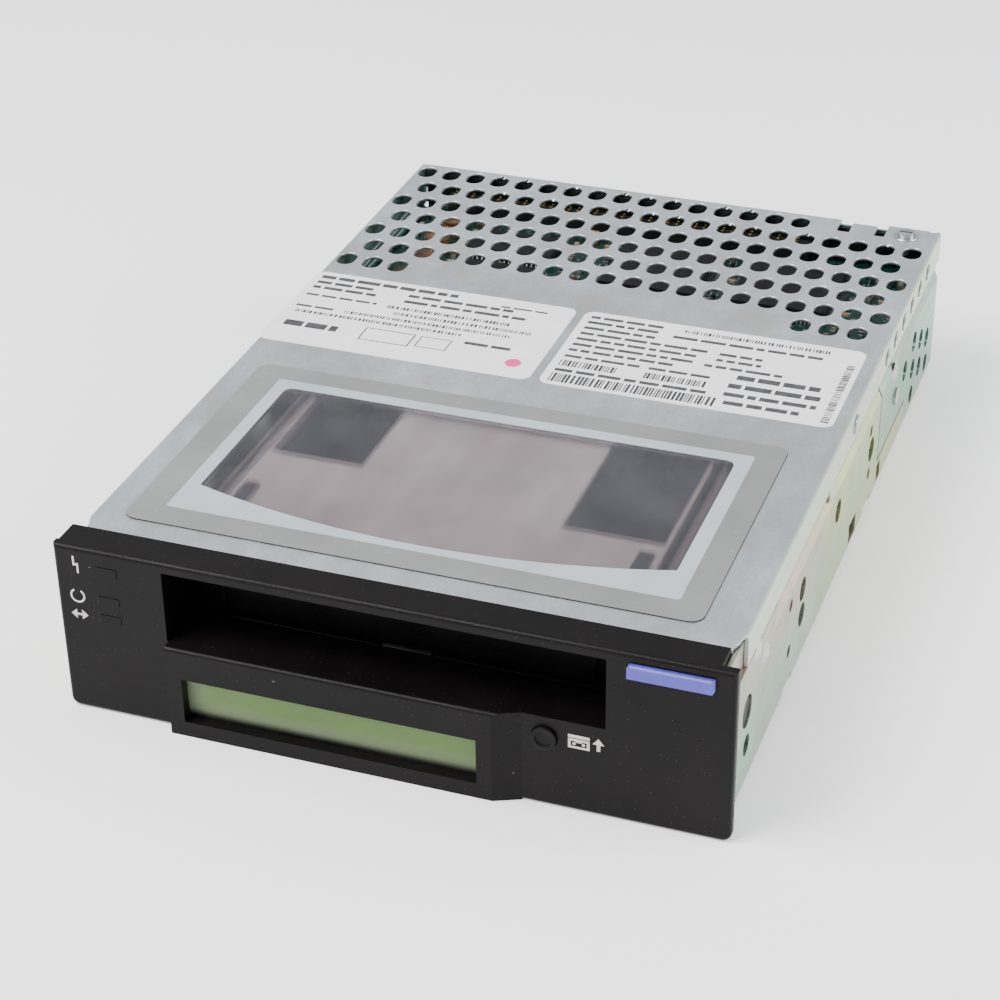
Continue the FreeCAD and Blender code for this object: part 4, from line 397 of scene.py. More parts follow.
def comb(x, y, wide, deep, pitch, along):
    """Gull-wing leads on two opposite sides of a package: a shoulder, a drop and a foot."""
    spans = []
    length, across = (wide, deep) if along == "x" else (deep, wide)
    count = int((length - 2) / pitch)
    half_lead = 0.2
    for index in range(count + 1):
        place = (index - count / 2) * pitch
        for side in (-1, 1):
            for near, far, low, high in ((across / 2 - 0.2, across / 2 + 0.7, 1.3, 1.6),
                                         (across / 2 + 0.45, across / 2 + 0.75, 0.1, 1.5),
                                         (across / 2 + 0.6, across / 2 + 1.6, 0.0, 0.3)):
                inner, outer = sorted((side * near, side * far))
                zs = (board_top + low, board_top + high)
                if along == "x":
                    xs = (x + place - half_lead, x + place + half_lead)
                    spans.append((xs, (y + inner, y + outer), zs))
                else:
                    ys = (y + place - half_lead, y + place + half_lead)
                    spans.append(((x + inner, x + outer), ys, zs))
    return spans


fine_pitch, wide_pitch = 1.0, 1.27
leads = []
for x, y, w, d, tall in packages:
    leads += comb(x, y, w, d, fine_pitch if w == d else wide_pitch, "x")
    if w == d:
        leads += comb(x, y, w, d, fine_pitch, "y")
boxes("chip_leads", leads, tin_plate)

# ---- small board parts -------------------------------------------------------------------
# Chip resistors and capacitors about 2 mm long fill the free ground: ceramic bodies in
# black, tan or brown with tinned ends, and a few larger yellow tantalum blocks.

chance = random.Random(17)
bodies = {"black": [], "tan": [], "brown": []}
ends = []
placed = []
margin = 2.4
taken = [(x - w / 2 - margin, x + w / 2 + margin, y - d / 2 - margin, y + d / 2 + margin)
         for x, y, w, d, tall in packages]
coil_ground, ribbon_ground = (-61, -51, 140, 190), (-72, -66.5, 140, 192)
taken += [coil_ground, ribbon_ground]
grid, apart = 1.2, 2.9
while len(placed) < 230:
    x, y = chance.uniform(-68, 68), chance.uniform(134.5, 191.5)
    x, y = round(x / grid) * grid, round(y / grid) * grid
    lying = chance.random() < 0.55
    hits = any(a < x < b and c < y < d for a, b, c, d in taken)
    if hits or any(abs(x - u) < apart and abs(y - v) < apart for u, v in placed):
        if chance.random() < 0.02:
            placed.append((x, y))
        continue
    placed.append((x, y))
    long, wide, tall = (1.0, 0.6, 0.7) if lying else (0.6, 1.0, 0.7)
    bodies[chance.choice(("black", "tan", "brown"))].append(
        ((x - long, x + long), (y - wide, y + wide), (board_top, board_top + tall)))
    for side in (-1, 1):
        if lying:
            near, far = sorted((x + side * 0.65, x + side * 1.05))
            ends.append(((near, far), (y - 0.63, y + 0.63), (board_top, board_top + 0.73)))
        else:
            near, far = sorted((y + side * 0.65, y + side * 1.05))
            ends.append(((x - 0.63, x + 0.63), (near, far), (board_top, board_top + 0.73)))
tan_ceramic = finish("tan_ceramic", (0.42, 0.29, 0.17), (0.50, 0.36, 0.22), 400, (0.35, 0.5))
brown_ceramic = finish("brown_ceramic", (0.14, 0.07, 0.035), (0.20, 0.10, 0.05), 400, (0.35, 0.5))
boxes("resistors", bodies["black"], chip_epoxy)
boxes("tan_capacitors", bodies["tan"], tan_ceramic)
boxes("brown_capacitors", bodies["brown"], brown_ceramic)
boxes("solder_ends", ends, tin_plate)
yellow_epoxy = finish("yellow_epoxy", (0.62, 0.36, 0.08), (0.72, 0.44, 0.12), 300, (0.3, 0.45))
block_zs = (board_top, board_top + 2.6)
boxes("tantalum_blocks", [((16.4, 20.0), (148.9, 151.6), block_zs), ((30.4, 34.2), (149.4, 152.4), block_zs),
                          ((-20.0, -16.6), (187.0, 190.4), block_zs)], yellow_epoxy, bevel=0.3)

# ---- coils -------------------------------------------------------------------------------
# Four power coils stand in a row at the left: enamelled copper wire wound on a brown
# ferrite core with a flange at each end.


def winding(build, x, y, low, radius, height, turns, steps=24, sides=6):
    """A stack of round wire rings, each wire with a number of sides."""
    thick = height / turns / 2
    for turn in range(turns):
        z = low + height * (turn + 0.5) / turns
        loops = []
        for step in range(steps):
            angle = 2 * math.pi * step / steps
            corners = []
            for part in range(sides):
                swing = 2 * math.pi * part / sides
                r = radius + thick * math.cos(swing)
                spot = (x + r * math.cos(angle), y + r * math.sin(angle), z + thick * math.sin(swing))
                corners.append(build.verts.new([value / 1000 for value in spot]))
            loops.append(corners)
        for step in range(steps):
            first, second = loops[step], loops[(step + 1) % steps]
            for part in range(sides):
                ahead = (part + 1) % sides
                build.faces.new((first[part], second[part], second[ahead], first[ahead]))


coil_spots = [(-56.0, y) for y in (146.0, 158.0, 170.0, 182.0)]
wire = bmesh.new()
for x, y in coil_spots:
    winding(wire, x, y, board_top + 0.5, radius=2.9, height=3.4, turns=6)
bmesh.ops.recalc_face_normals(wire, faces=wire.faces)
add_piece("coil_windings", mesh_from(wire, "coil_windings", smooth=True), copper)
core = ((0, 4.6), (3.2, 4.6), (3.4, 4.4), (3.4, 3.9), (2.6, 3.8), (2.6, 0.6), (3.4, 0.5), (3.4, 0.0),
        (0, 0.0))
turned("coil_cores", [((x, y, board_top), (0, 0, 1), core) for x, y in coil_spots], brown_ceramic)

# ---- edge ribbon -------------------------------------------------------------------------
# A flat ribbon lead runs along the left edge of the board. Its wires are insulated in
# white and teal by turns.

white_wire = finish("white_wire", (0.66, 0.68, 0.66), (0.76, 0.78, 0.76), 200, (0.35, 0.5))
teal_wire = finish("teal_wire", (0.02, 0.16, 0.15), (0.03, 0.22, 0.20), 200, (0.35, 0.5))
strands = [((-71.4 + 0.7 * i, -70.72 + 0.7 * i), (142.0, 190.0), (board_top + 1.6, board_top + 2.3))
           for i in range(6)]
boxes("white_strands", strands[0::2], white_wire, bevel=0.2)
boxes("teal_strands", strands[1::2], teal_wire, bevel=0.2)

# ---- rear header -------------------------------------------------------------------------
# A long black header stands at the board's rear edge, with two rows of square brass pins.

dress(nodes["board_header"], black_moulding)
header_low, header_high = millimetres(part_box("board_header"))
pin_pitch, pin_half, pin_reach = 2.54, 0.3, 0.9
pins = []
for index in range(39):
    x = header_low.x + 2.0 + pin_pitch * index
    for y in (header_low.y + 0.9, header_high.y - 0.9):
        if x < header_high.x - 1:
            pins.append(((x - pin_half, x + pin_half), (y - pin_half, y + pin_half),
                         (header_high.z, header_high.z + pin_reach)))
boxes("header_pins", pins, brass)

# ---- rear shade sheet --------------------------------------------------------------------
# A folded black sheet stands inside the rear wall as painted shade, darkening the wall's
# inside. Its foot lies just over the board, and it stops under the cover.

shield_high = millimetres(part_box("rear_shield"))[1]
shade_black = finish("black_shade_film", (0.006, 0.007, 0.007), (0.012, 0.014, 0.013), 120, (0.3, 0.45),
                   shine=0.3)
back = shield_high.y - 2.0
across = (-70.0, 70.0)
boxes("rear_shade_sheet", [(across, (back - 0.25, back), (board_top + 0.6, 37.2)),
                           (across, (back - 2.6, back - 0.25), (board_top + 0.6, board_top + 0.85))], shade_black)

# ---- rear connectors ---------------------------------------------------------------------
# At the rear edge sit the wide interface connector and the jumper block, both moulded in
# black, and the ivory power connector. Thin contacts line both faces of the wide one's tongue.

for name in ("interface_connector", "jumper_block"):
    dress(nodes[name], black_moulding)
ivory = finish("ivory_moulding", (0.50, 0.49, 0.43), (0.60, 0.58, 0.51), 80, (0.35, 0.5))
dress(nodes["power_connector"], ivory)
shell_low, shell_high = millimetres(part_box("interface_connector"))
tongue = (shell_low.z + shell_high.z) / 2
end_wall, contact_pitch = 8.0, 1.27
contacts = []
x = shell_low.x + end_wall
while x < shell_high.x - end_wall:
    for zs in ((tongue + 0.65, tongue + 0.85), (tongue - 0.85, tongue - 0.65)):
        contacts.append(((x - 0.25, x + 0.25), (shell_high.y - 7.0, shell_high.y - 1.4), zs))
    x += contact_pitch
boxes("gold_contacts", contacts, brass)

# ---- display -----------------------------------------------------------------------------
# A reflective liquid crystal panel in a black moulded module, behind a clear lens pressed
# into the bezel. The panel is yellow-green; near its foot and left end it is painted greyer as
# the light and shade that the opening's walls throw on it, and along its very foot painted
# dark as the shadow of the recess.


def flat_mesh(name, loops):
    """A flat mesh in millimetres filled between an outline and its holes."""
    curve = bpy.data.curves.new(name, "CURVE")
    curve.dimensions = "2D"
    curve.fill_mode = "BOTH"
    for loop in loops:
        line = curve.splines.new("POLY")
        line.points.add(len(loop) - 1)
        for point, (x, y) in zip(line.points, loop):
            point.co = (x, y, 0, 1)
        line.use_cyclic_u = True
    holder = bpy.data.objects.new(name, curve)
    bpy.context.scene.collection.objects.link(holder)
    bpy.context.view_layer.update()
    mesh = bpy.data.meshes.new_from_object(holder.evaluated_get(bpy.context.evaluated_depsgraph_get()))
    bpy.data.objects.remove(holder)
    return mesh


def slab(name, loops, low, thick, surface, body="chassis"):
    """A flat plate of a drawn shape, its underside at a height, all in millimetres."""
    mesh = flat_mesh(name, loops)
    build = bmesh.new()
    build.from_mesh(mesh)
    bmesh.ops.remove_doubles(build, verts=build.verts, dist=1e-4)
    raised = bmesh.ops.extrude_face_region(build, geom=build.faces[:])["geom"]
    upper = [part for part in raised if isinstance(part, bmesh.types.BMVert)]
    bmesh.ops.translate(build, vec=(0, 0, thick), verts=upper)
    bmesh.ops.recalc_face_normals(build, faces=build.faces)
    bmesh.ops.translate(build, vec=(0, 0, low), verts=build.verts)
    bmesh.ops.scale(build, vec=(0.001, 0.001, 0.001), verts=build.verts)
    build.to_mesh(mesh)
    build.free()
    return add_piece(name, mesh, surface, body)


def upright(name, loops, surface, y, thick):
    """Flat shapes drawn in X and Z, standing forward of a face that looks to the front."""
    piece = slab(name, loops, 0.0, thick, surface)
    piece.data.transform(Matrix.Translation((0, y / 1000, 0)) @ Matrix.Rotation(math.radians(90), 4, "X"))
    return piece


def oblong(x0, x1, y0, y1):
    """The outline of a plain rectangle."""
    return [(x0, y0), (x1, y0), (x1, y1), (x0, y1)]


def make_panel_finish():
    surface, tree, shader, place = start_finish("display_panel")
    parts = split(tree, place)
    # Near the foot and the left end the green turns grey: painted light and shade from the opening's walls.
    foot = spread(tree, parts["Z"], 0.0016, 0.0058, 1.0, 0.0)
    end = spread(tree, parts["X"], -0.0452, -0.0405, 0.9, 0.0)
    wall_shading_mask = node(tree, "ShaderNodeMath", operation="MAXIMUM")
    tree.links.new(foot, wall_shading_mask.inputs[0])
    tree.links.new(end, wall_shading_mask.inputs[1])
    deep_green, green = (0.095, 0.180, 0.038), (0.115, 0.205, 0.050)
    wall_shading, shaded = (0.22, 0.26, 0.17), (0.035, 0.042, 0.032)
    clouds = blend(tree, noise_range(tree, place, 60, 0, 1, 2), deep_green, green)
    tone = blend(tree, wall_shading_mask.outputs[0], clouds, wall_shading)
    # Along the very foot it turns dark: a painted shadow of the recess's lower lip.
    edge = spread(tree, parts["Z"], 0.0011, 0.0026, 1.0, 0.0)
    tree.links.new(blend(tree, edge, tone, shaded), shader.inputs["Base Color"])
    tree.links.new(noise_range(tree, place, 500, 0.35, 0.45), shader.inputs["Roughness"])
    return surface


module_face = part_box("display_module")[0][1] * 1000
dress(nodes["display_module"], black_moulding)
panel_thick = 0.06
upright("display_panel", [oblong(-46.2, 21.6, 0.9, 12.4)], make_panel_finish(), module_face, panel_thick)
backlight = finish("backlight_edge", (0.34, 0.30, 0.06), (0.42, 0.37, 0.09), 300, (0.35, 0.5))
upright("display_top_edge", [oblong(-46.0, 21.4, 11.72, 12.0)], backlight, module_face - panel_thick, 0.05)


def mix_shaders(tree, amount, first, second):
    """One shader laid over another, by a number or by the output of another node."""
    mix = node(tree, "ShaderNodeMixShader")
    if isinstance(amount, bpy.types.NodeSocket):
        tree.links.new(amount, mix.inputs[0])
    else:
        mix.inputs[0].default_value = amount
    tree.links.new(first.outputs[0], mix.inputs[1])
    tree.links.new(second.outputs[0], mix.inputs[2])
    return mix


def make_clear_lens():
    surface, tree, shader, place = start_finish("clear_lens")
    tree.links.new(noise_range(tree, place, 90, 0.04, 0.12), shader.inputs["Roughness"])
    haze = noise_range(tree, place, 60, 0, 1)
    tree.links.new(blend(tree, haze, (0.02, 0.02, 0.02), (0.04, 0.04, 0.04)), shader.inputs["Base Color"])
    clear = node(tree, "ShaderNodeBsdfTransparent", Color=(0.97, 0.98, 0.96, 1))
    clearness = 0.93
    mix = mix_shaders(tree, clearness, shader, clear)
    tree.links.new(mix.outputs[0], tree.nodes["Material Output"].inputs["Surface"])
    return surface


dress(nodes["display_window"], make_clear_lens())

# ---- front bezel -------------------------------------------------------------------------
# One injection moulding in black ABS with a fine spark-eroded texture. Handling has left
# dust in the texture, a few short scratches, and edges polished a little paler.


def soften(piece, width, segments=2, angle=35, curved=False, worn=None):
    """Closes the imported seams, then rounds the hard edges a little, and wears them."""
    weld = piece.modifiers.new("Weld", "WELD")
    weld.merge_threshold = 1e-6
    edge = piece.modifiers.new("Edge", "BEVEL")
    edge.width = width
    edge.segments = segments
    edge.limit_method = "ANGLE"
    edge.angle_limit = math.radians(angle)
    if worn:
        piece.data.materials.append(worn)
        edge.material = 1
    if curved:
        edge.harden_normals = True
        piece.data.shade_smooth()
    else:
        piece.data.shade_flat()


def make_textured_black():
    surface, tree, shader, place = start_finish("textured_black")
    black, worn_tone = (0.0028, 0.0020, 0.0022), (0.0048, 0.0036, 0.0038)
    dust_grey, mark_grey = (0.095, 0.090, 0.086), (0.20, 0.19, 0.18)
    tone = blend(tree, noise_range(tree, place, 45, 0, 1, 4), black, worn_tone)
    dust = dotted(tree, place, 620, 0.086, 0.42)
    tone = blend(tree, dust, tone, dust_grey)
    marks = dotted(tree, place, 190, 0.030, 0.6, (0.35, 1, 1))
    tree.links.new(blend(tree, marks, tone, mark_grey), shader.inputs["Base Color"])
    shader.inputs["Specular IOR Level"].default_value = 0.12
    tree.links.new(noise_range(tree, place, 80, 0.34, 0.46, 5), shader.inputs["Roughness"])
    grain(tree, shader, noise_range(tree, place, 3200, 0, 1, 2), 0.22)
    return surface


textured_black = make_textured_black()
worn_black = finish("worn_black", (0.008, 0.0072, 0.0072), (0.022, 0.020, 0.019), 500, (0.26, 0.36),
                    shine=0.3)
dress(nodes["front_bezel"], textured_black)
soften(nodes["front_bezel"], 0.0005, 3, worn=worn_black)

# ---- unload button -----------------------------------------------------------------------
# The button is the same black moulding, pushed forward by a coil spring; its stem presses
# a small switch on the board behind the bezel.

dress(nodes["unload_button"], textured_black)
soften(nodes["unload_button"], 0.0004, curved=True)
dress(nodes["button_switch"], black_moulding)
dress(nodes["button_spring"], bright_steel)

# ---- cartridge door ----------------------------------------------------------------------
# The door hangs inside the slot on a steel pin, held shut by a light spring. It is moulded
# in glossy black, with a smooth plain face.


def make_gloss_black():
    surface, tree, shader, place = start_finish("gloss_black")
    black, grey_black = (0.0022, 0.0020, 0.0022), (0.0036, 0.0034, 0.0036)
    tone = blend(tree, noise_range(tree, place, 30, 0, 1, 4), black, grey_black)
    tree.links.new(tone, shader.inputs["Base Color"])
    shader.inputs["Specular IOR Level"].default_value = 0.2
    tree.links.new(noise_range(tree, place, 60, 0.26, 0.36, 4), shader.inputs["Roughness"])
    grain(tree, shader, noise_range(tree, place, 2000, 0, 1, 2), 0.08)
    return surface


dress(nodes["cartridge_door"], make_gloss_black())
soften(nodes["cartridge_door"], 0.0003)
dress(nodes["door_pin"], bright_steel)
dress(nodes["door_spring"], dark_steel)

# ---- light windows -----------------------------------------------------------------------
# Three smoked windows at the left are the ends of clear light pipes. Unlit they are as dark
# as the bezel, and only the thin gap at their left and foot tells them from it.

smoked = finish("smoked_window", (0.0030, 0.0026, 0.0028), (0.0050, 0.0044, 0.0046), 100, (0.4, 0.5),
                shine=0.12)
dress(nodes["light_pipes"], smoked)
gap_black = finish("gap_black", (0.0010, 0.0010, 0.0010), (0.0016, 0.0016, 0.0016), 200, (0.7, 0.9))
bezel_face = -8.4
gaps = []
for foot in (25.75, 21.15):
    gaps.append([(-65.0, foot), (-59.6, foot), (-59.6, foot + 0.22), (-64.78, foot + 0.22),
                 (-64.78, foot + 2.1), (-65.0, foot + 2.1)])
upright("window_gaps", gaps, gap_black, bezel_face, 0.02)

# ---- colour strip ------------------------------------------------------------------------
# A violet strip of through-dyed plastic is pressed into the bezel at the upper right, with
# a paler band painted along the top of its face as the highlight of a narrow bevel.


def make_violet():
    surface, tree, shader, place = start_finish("violet_plastic")
    clouds = noise_range(tree, place, 220, 0, 1, 4)
    tone = blend(tree, clouds, (0.050, 0.043, 0.32), (0.070, 0.062, 0.38))
    tree.links.new(tone, shader.inputs["Base Color"])
    tree.links.new(noise_range(tree, place, 500, 0.35, 0.5), shader.inputs["Roughness"])
    grain(tree, shader, noise_range(tree, place, 1800, 0, 1, 2), 0.1)
    return surface


dress(nodes["colour_strip"], make_violet())
strip_low, strip_high = millimetres(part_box("colour_strip"))
# The paler band is a painted highlight on the face of the strip, not a cut bevel.
violet_painted_highlight = finish("violet_painted_highlight", (0.12, 0.115, 0.48), (0.16, 0.155, 0.54), 220, (0.3, 0.45))
upright("strip_painted_highlight", [oblong(strip_low.x + 0.6, strip_high.x - 0.6, strip_high.z - 0.75, strip_high.z - 0.15)],
        violet_painted_highlight, strip_low.y, 0.03)

# ---- printed signs -----------------------------------------------------------------------
# Pale grey signs are pad-printed on the bezel: a fault zigzag, an open ring and a two-way
# arrow beside the lights, and a cartridge with an upright arrow beside the button.


def stroke(points, width):
    """A broad line through points, as one closed loop."""
    lefts, rights = [], []
    for index, point in enumerate(points):
        before = Vector(points[max(index - 1, 0)])
        after = Vector(points[min(index + 1, len(points) - 1)])
        run = (after - before).normalized() * (width / 2)
        lefts.append((point[0] - run.y, point[1] + run.x))
        rights.append((point[0] + run.y, point[1] - run.x))
    return lefts + rights[::-1]


def stadium(x, y, wide, tall, steps=6):
    """A slot with round ends: the longer side is straight."""
    radius = min(wide, tall) / 2
    run = (tall - wide) / 2 if tall > wide else 0
    side = (wide - tall) / 2 if wide > tall else 0
    points = []
    for quarter in range(4):
        cx = side if quarter in (0, 3) else -side
        cy = run if quarter in (0, 1) else -run
        for step in range(steps + 1):
            angle = math.radians(90 * (quarter + step / steps))
            points.append((x + cx + radius * math.cos(angle), y + cy + radius * math.sin(angle)))
    return points


pad_print = finish("pad_print", (0.42, 0.40, 0.37), (0.54, 0.52, 0.48), 300, (0.4, 0.55))
zigzag = [(-70.05, 36.85), (-69.6, 36.85), (-69.6, 35.05), (-68.75, 35.3), (-68.75, 32.75), (-69.2, 32.75),
          (-69.2, 34.7), (-70.05, 34.45)]
ring_radius = 1.55
ring = stroke([(-69.7 + ring_radius * math.cos(math.radians(a)), 26.9 + ring_radius * math.sin(math.radians(a)))
               for a in range(118, 423, 12)], 0.42)
two_way = [(-71.7, 22.2), (-70.3, 23.4), (-70.3, 22.45), (-69.1, 22.45), (-69.1, 23.4), (-67.7, 22.2),
           (-69.1, 21.0), (-69.1, 21.95), (-70.3, 21.95), (-70.3, 21.0)]
upright("light_signs", [zigzag, ring, two_way], pad_print, bezel_face, 0.035)
upright("cartridge_sign", [oblong(40.1, 44.7, 13.4, 16.7)], pad_print, bezel_face, 0.03)
seam, reel_window = oblong(40.1, 44.7, 15.75, 15.95), oblong(40.7, 44.1, 13.95, 15.15)
upright("cartridge_sign_lines", [seam, reel_window], textured_black, bezel_face - 0.03, 0.01)
reels = [stadium(x, 14.55, 0.7, 0.7) for x in (41.4, 43.4)]
upright("cartridge_sign_reels", [*reels, oblong(41.7, 43.1, 14.9, 15.15)], pad_print, bezel_face - 0.04, 0.01)
arrow = [(46.55, 16.85), (45.3, 15.35), (46.2, 15.35), (46.2, 13.75), (46.95, 13.75), (46.95, 15.35),
         (47.8, 15.35)]
upright("up_arrow", [arrow], pad_print, bezel_face, 0.035)

# ---- top cover ---------------------------------------------------------------------------
# One sheet of 0.8 mm zinc-plated steel, punched with rows of rounded vents and a window,
# cut, and then bent down over both sides and the rear. The bent sides have a faint
# yellow-green tint.


def make_cover_finish():
    surface, tree, shader, place = start_finish("satin_zinc")
    clouds = blend(tree, noise_range(tree, place, 24, 0, 1, 7), (0.43, 0.485, 0.535), (0.61, 0.665, 0.715))
    warm = noise_range(tree, place, 38, 0, 0.40, 5, shift=0.3)
    tone = blend(tree, warm, clouds, (0.34, 0.34, 0.31))
    smudges = noise_range(tree, place, 190, 0, 0.35, 6, (1, 0.5, 1), shift=0.8)
    tone = blend(tree, smudges, tone, (0.24, 0.26, 0.27))
    fine = noise_range(tree, place, 1500, 0, 0.30, 3, (1, 0.6, 1))
    tone = blend(tree, fine, tone, (0.26, 0.28, 0.30))
    rust = noise_range(tree, place, 70, -0.5, 0.35, 7, shift=0.55)
    tone = blend(tree, rust, tone, (0.38, 0.33, 0.27))
    pits = dotted(tree, place, 620, 0.12, 0.35)
    tone = blend(tree, pits, tone, (0.16, 0.17, 0.18))
    scratch = dotted(tree, place, 90, 0.035, 0.5, (0.12, 1, 1))
    tone = blend(tree, scratch, tone, (0.66, 0.68, 0.70))
    outward = node(tree, "ShaderNodeMath", operation="ABSOLUTE")
    tree.links.new(split(tree, place)["X"], outward.inputs[0])
    side = spread(tree, outward.outputs[0], 0.0722, 0.0730, 0.0, 0.5)
    yellow_green = (0.60, 0.68, 0.44)
    tree.links.new(blend(tree, side, tone, yellow_green), shader.inputs["Base Color"])
    shader.inputs["Metallic"].default_value = 0.62
    tree.links.new(noise_range(tree, place, 90, 0.36, 0.50, 6), shader.inputs["Roughness"])
    grain(tree, shader, noise_range(tree, place, 1400, 0, 1, 3, (1, 0.3, 1)), 0.12)
    return surface


def rounded(low, high, radius, steps=6):
    """A rectangle with round corners."""
    points = []
    x0, x1, y0, y1 = low[0] + radius, high[0] - radius, low[1] + radius, high[1] - radius
    for quarter, (cx, cy) in enumerate(((x1, y1), (x0, y1), (x0, y0), (x1, y0))):
        for step in range(steps + 1):
            angle = math.radians(90 * (quarter + step / steps))
            points.append((cx + radius * math.cos(angle), cy + radius * math.sin(angle)))
    return points


top, cover_half, depth, radius, sheet_thick = 38.4, 73.025, 203.2, 1.2, 0.8
side_flat, rear_flat = cover_half - radius, depth - radius
bend = radius * math.pi / 2
side_end = side_flat + bend + 6.2
rear_end = rear_flat + bend + 5.8
relief = [(side_flat - 0.7, 0), (side_flat - 0.7, 1.5), (side_flat + 0.9, 5.9), (side_end, 5.9)]
outline = [(-x, y) for x, y in reversed(relief)] + relief
outline += [(side_end, depth - 0.6), (side_flat + 0.3, depth - 0.6), (side_flat, rear_flat - 0.3),
            (70.0, rear_flat - 0.3), (70.0, rear_end), (59.3, rear_end), (59.3, 195.2), (56.5, 195.2),
            (56.5, 201.0), (50.0, 201.0), (50.0, 195.2), (47.1, 195.2), (46.5, 195.8), (46.5, rear_end),
            (-side_flat + 0.3, rear_end), (-side_flat + 0.3, rear_flat - 0.3), (-side_flat, rear_flat - 0.3),
            (-side_flat - 0.3, depth - 0.6), (-side_end, depth - 0.6)]
left, right, front, rear, bulge = -55.5, 53.0, 24.0, 70.5, 8.0
chord = right - left
arc = chord * chord / (8 * bulge) + bulge / 2
middle = (left + right) / 2
window = [(middle + arc * math.sin(a), front - bulge + arc - arc * math.cos(a))
          for a in (math.asin(chord / 2 / arc) * (step / 12 - 1) for step in range(25))]
window += [(x, y) for x, y in rounded((left, front), (right, rear), 2.0) if y > rear - 2.01]
loops = [outline, window]
vent_wide, vent_long, vent_pitch, row_pitch = 4.9, 7.0, 7.05, 9.61
last_row = depth - 5.9
for row in range(7):
    y = last_row - row_pitch * row
    start = -cover_half + 3.805 + (vent_pitch / 2 if row % 2 else 0)
    columns = (0, 1, 2, 17, 18, 19) if row == 6 else range(16 if row == 0 else 20)
    loops += [stadium(start + vent_pitch * column, y, vent_wide, vent_long, 7) for column in columns]
screw_hole = 2.7
screw_x = 64.7
loops.append(stadium(screw_x, last_row, screw_hole, screw_hole))
flange_middle = side_flat + bend + (top - radius - 34.6)
for side in (-1, 1):
    loops += [stadium(side * flange_middle, y, 4.4, 5.2) for y in (137.0, 146.8, 156.6, 166.4, 176.2, 186.0)]
    loops.append(stadium(side * flange_middle, 102.5, screw_hole, screw_hole))
cover_mesh = flat_mesh("cover", loops)
sheet = bmesh.new()
sheet.from_mesh(cover_mesh)
bend_steps = 6
for step in range(bend_steps + 1):
    distance = bend * step / bend_steps
    for point, normal in (((side_flat + distance, 0, 0), (1, 0, 0)),
                          ((-side_flat - distance, 0, 0), (1, 0, 0)),
                          ((0, rear_flat + distance, 0), (0, 1, 0))):
        every = sheet.verts[:] + sheet.edges[:] + sheet.faces[:]
        bmesh.ops.bisect_plane(sheet, geom=every, plane_co=point, plane_no=normal, dist=1e-5)
bmesh.ops.dissolve_degenerate(sheet, edges=sheet.edges[:], dist=1e-4)


def fold(position, flat_end, inset):
    """Where a distance along the flat sheet ends up: (distance out, distance down)."""
    past = position - flat_end
    if past <= 0:
        return position, inset
    angle = min(past / radius, math.pi / 2)
    reach = radius - inset
    return flat_end + reach * math.sin(angle), radius - reach * math.cos(angle) + max(0.0, past - bend)


def bent(flat, inset):
    """A point of the flat sheet once both sides and the rear are bent down."""
    x, y, down = flat.x, flat.y, inset
    if abs(flat.x) > side_flat:
        out, down = fold(abs(flat.x), side_flat, inset)
        x = math.copysign(out, flat.x)
    elif flat.y > rear_flat:
        y, down = fold(flat.y, rear_flat, inset)
    return Vector((x, y, top - down)) / 1000


flats = {vertex: vertex.co.copy() for vertex in sheet.verts}
outers = list(sheet.faces)
rims = [edge for edge in sheet.edges if edge.is_boundary]
inners = {vertex: sheet.verts.new(bent(flat, sheet_thick)) for vertex, flat in flats.items()}
for outer in outers:
    sheet.faces.new([inners[vertex] for vertex in reversed(outer.verts)])
for rim in rims:
    first, second = rim.verts
    sheet.faces.new((first, second, inners[second], inners[first]))
for vertex, flat in flats.items():
    vertex.co = bent(flat, 0.0)
bmesh.ops.recalc_face_normals(sheet, faces=sheet.faces)
for part in sheet.faces:
    spans = [max(v.co[i] for v in part.verts) - min(v.co[i] for v in part.verts) for i in range(3)]
    part.smooth = min(spans) > 1e-6
sheet.to_mesh(cover_mesh)
sheet.free()
cover = add_piece("cover", cover_mesh, make_cover_finish())
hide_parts("top_cover")

# ---- window film -------------------------------------------------------------------------
# Clear polyester film, gone milky with handling, closes the window. A broad band of grey
# adhesive glues it down, and inside the band the bare film is frosted over the steel.


def make_milky_film():
    surface, tree, shader, place = start_finish("milky_film")
    tone = blend(tree, noise_range(tree, place, 25, 0, 1, 5), (0.125, 0.125, 0.142), (0.180, 0.180, 0.198))
    tree.links.new(tone, shader.inputs["Base Color"])
    shader.inputs["Specular IOR Level"].default_value = 0.2
    tree.links.new(noise_range(tree, place, 120, 0.34, 0.46, 5), shader.inputs["Roughness"])
    grain(tree, shader, noise_range(tree, place, 260, 0, 1, 3), 0.05)
    tint = (0.95, 0.94, 0.96, 1)
    clear = node(tree, "ShaderNodeBsdfTransparent", Color=tint)
    haze = node(tree, "ShaderNodeBsdfRefraction", Color=tint, Roughness=0.22, IOR=1.45)
    haziness = 0.62
    through = mix_shaders(tree, haziness, clear, haze)
    mix = mix_shaders(tree, noise_range(tree, place, 60, 0.74, 0.82, 4), shader, through)
    tree.links.new(mix.outputs[0], tree.nodes["Material Output"].inputs["Surface"])
    return surface


def make_adhesive():
    surface, tree, shader, place = start_finish("grey_adhesive")
    tone = blend(tree, noise_range(tree, place, 30, 0, 1, 6), (0.165, 0.172, 0.170), (0.215, 0.222, 0.216))
    bubbles = dotted(tree, place, 260, 0.16, 0.25)
    tree.links.new(blend(tree, bubbles, tone, (0.28, 0.29, 0.28)), shader.inputs["Base Color"])
    shader.inputs["Specular IOR Level"].default_value = 0.3
    tree.links.new(noise_range(tree, place, 140, 0.30, 0.42, 5), shader.inputs["Roughness"])
    grain(tree, shader, noise_range(tree, place, 420, 0, 1, 3), 0.08)
    return surface


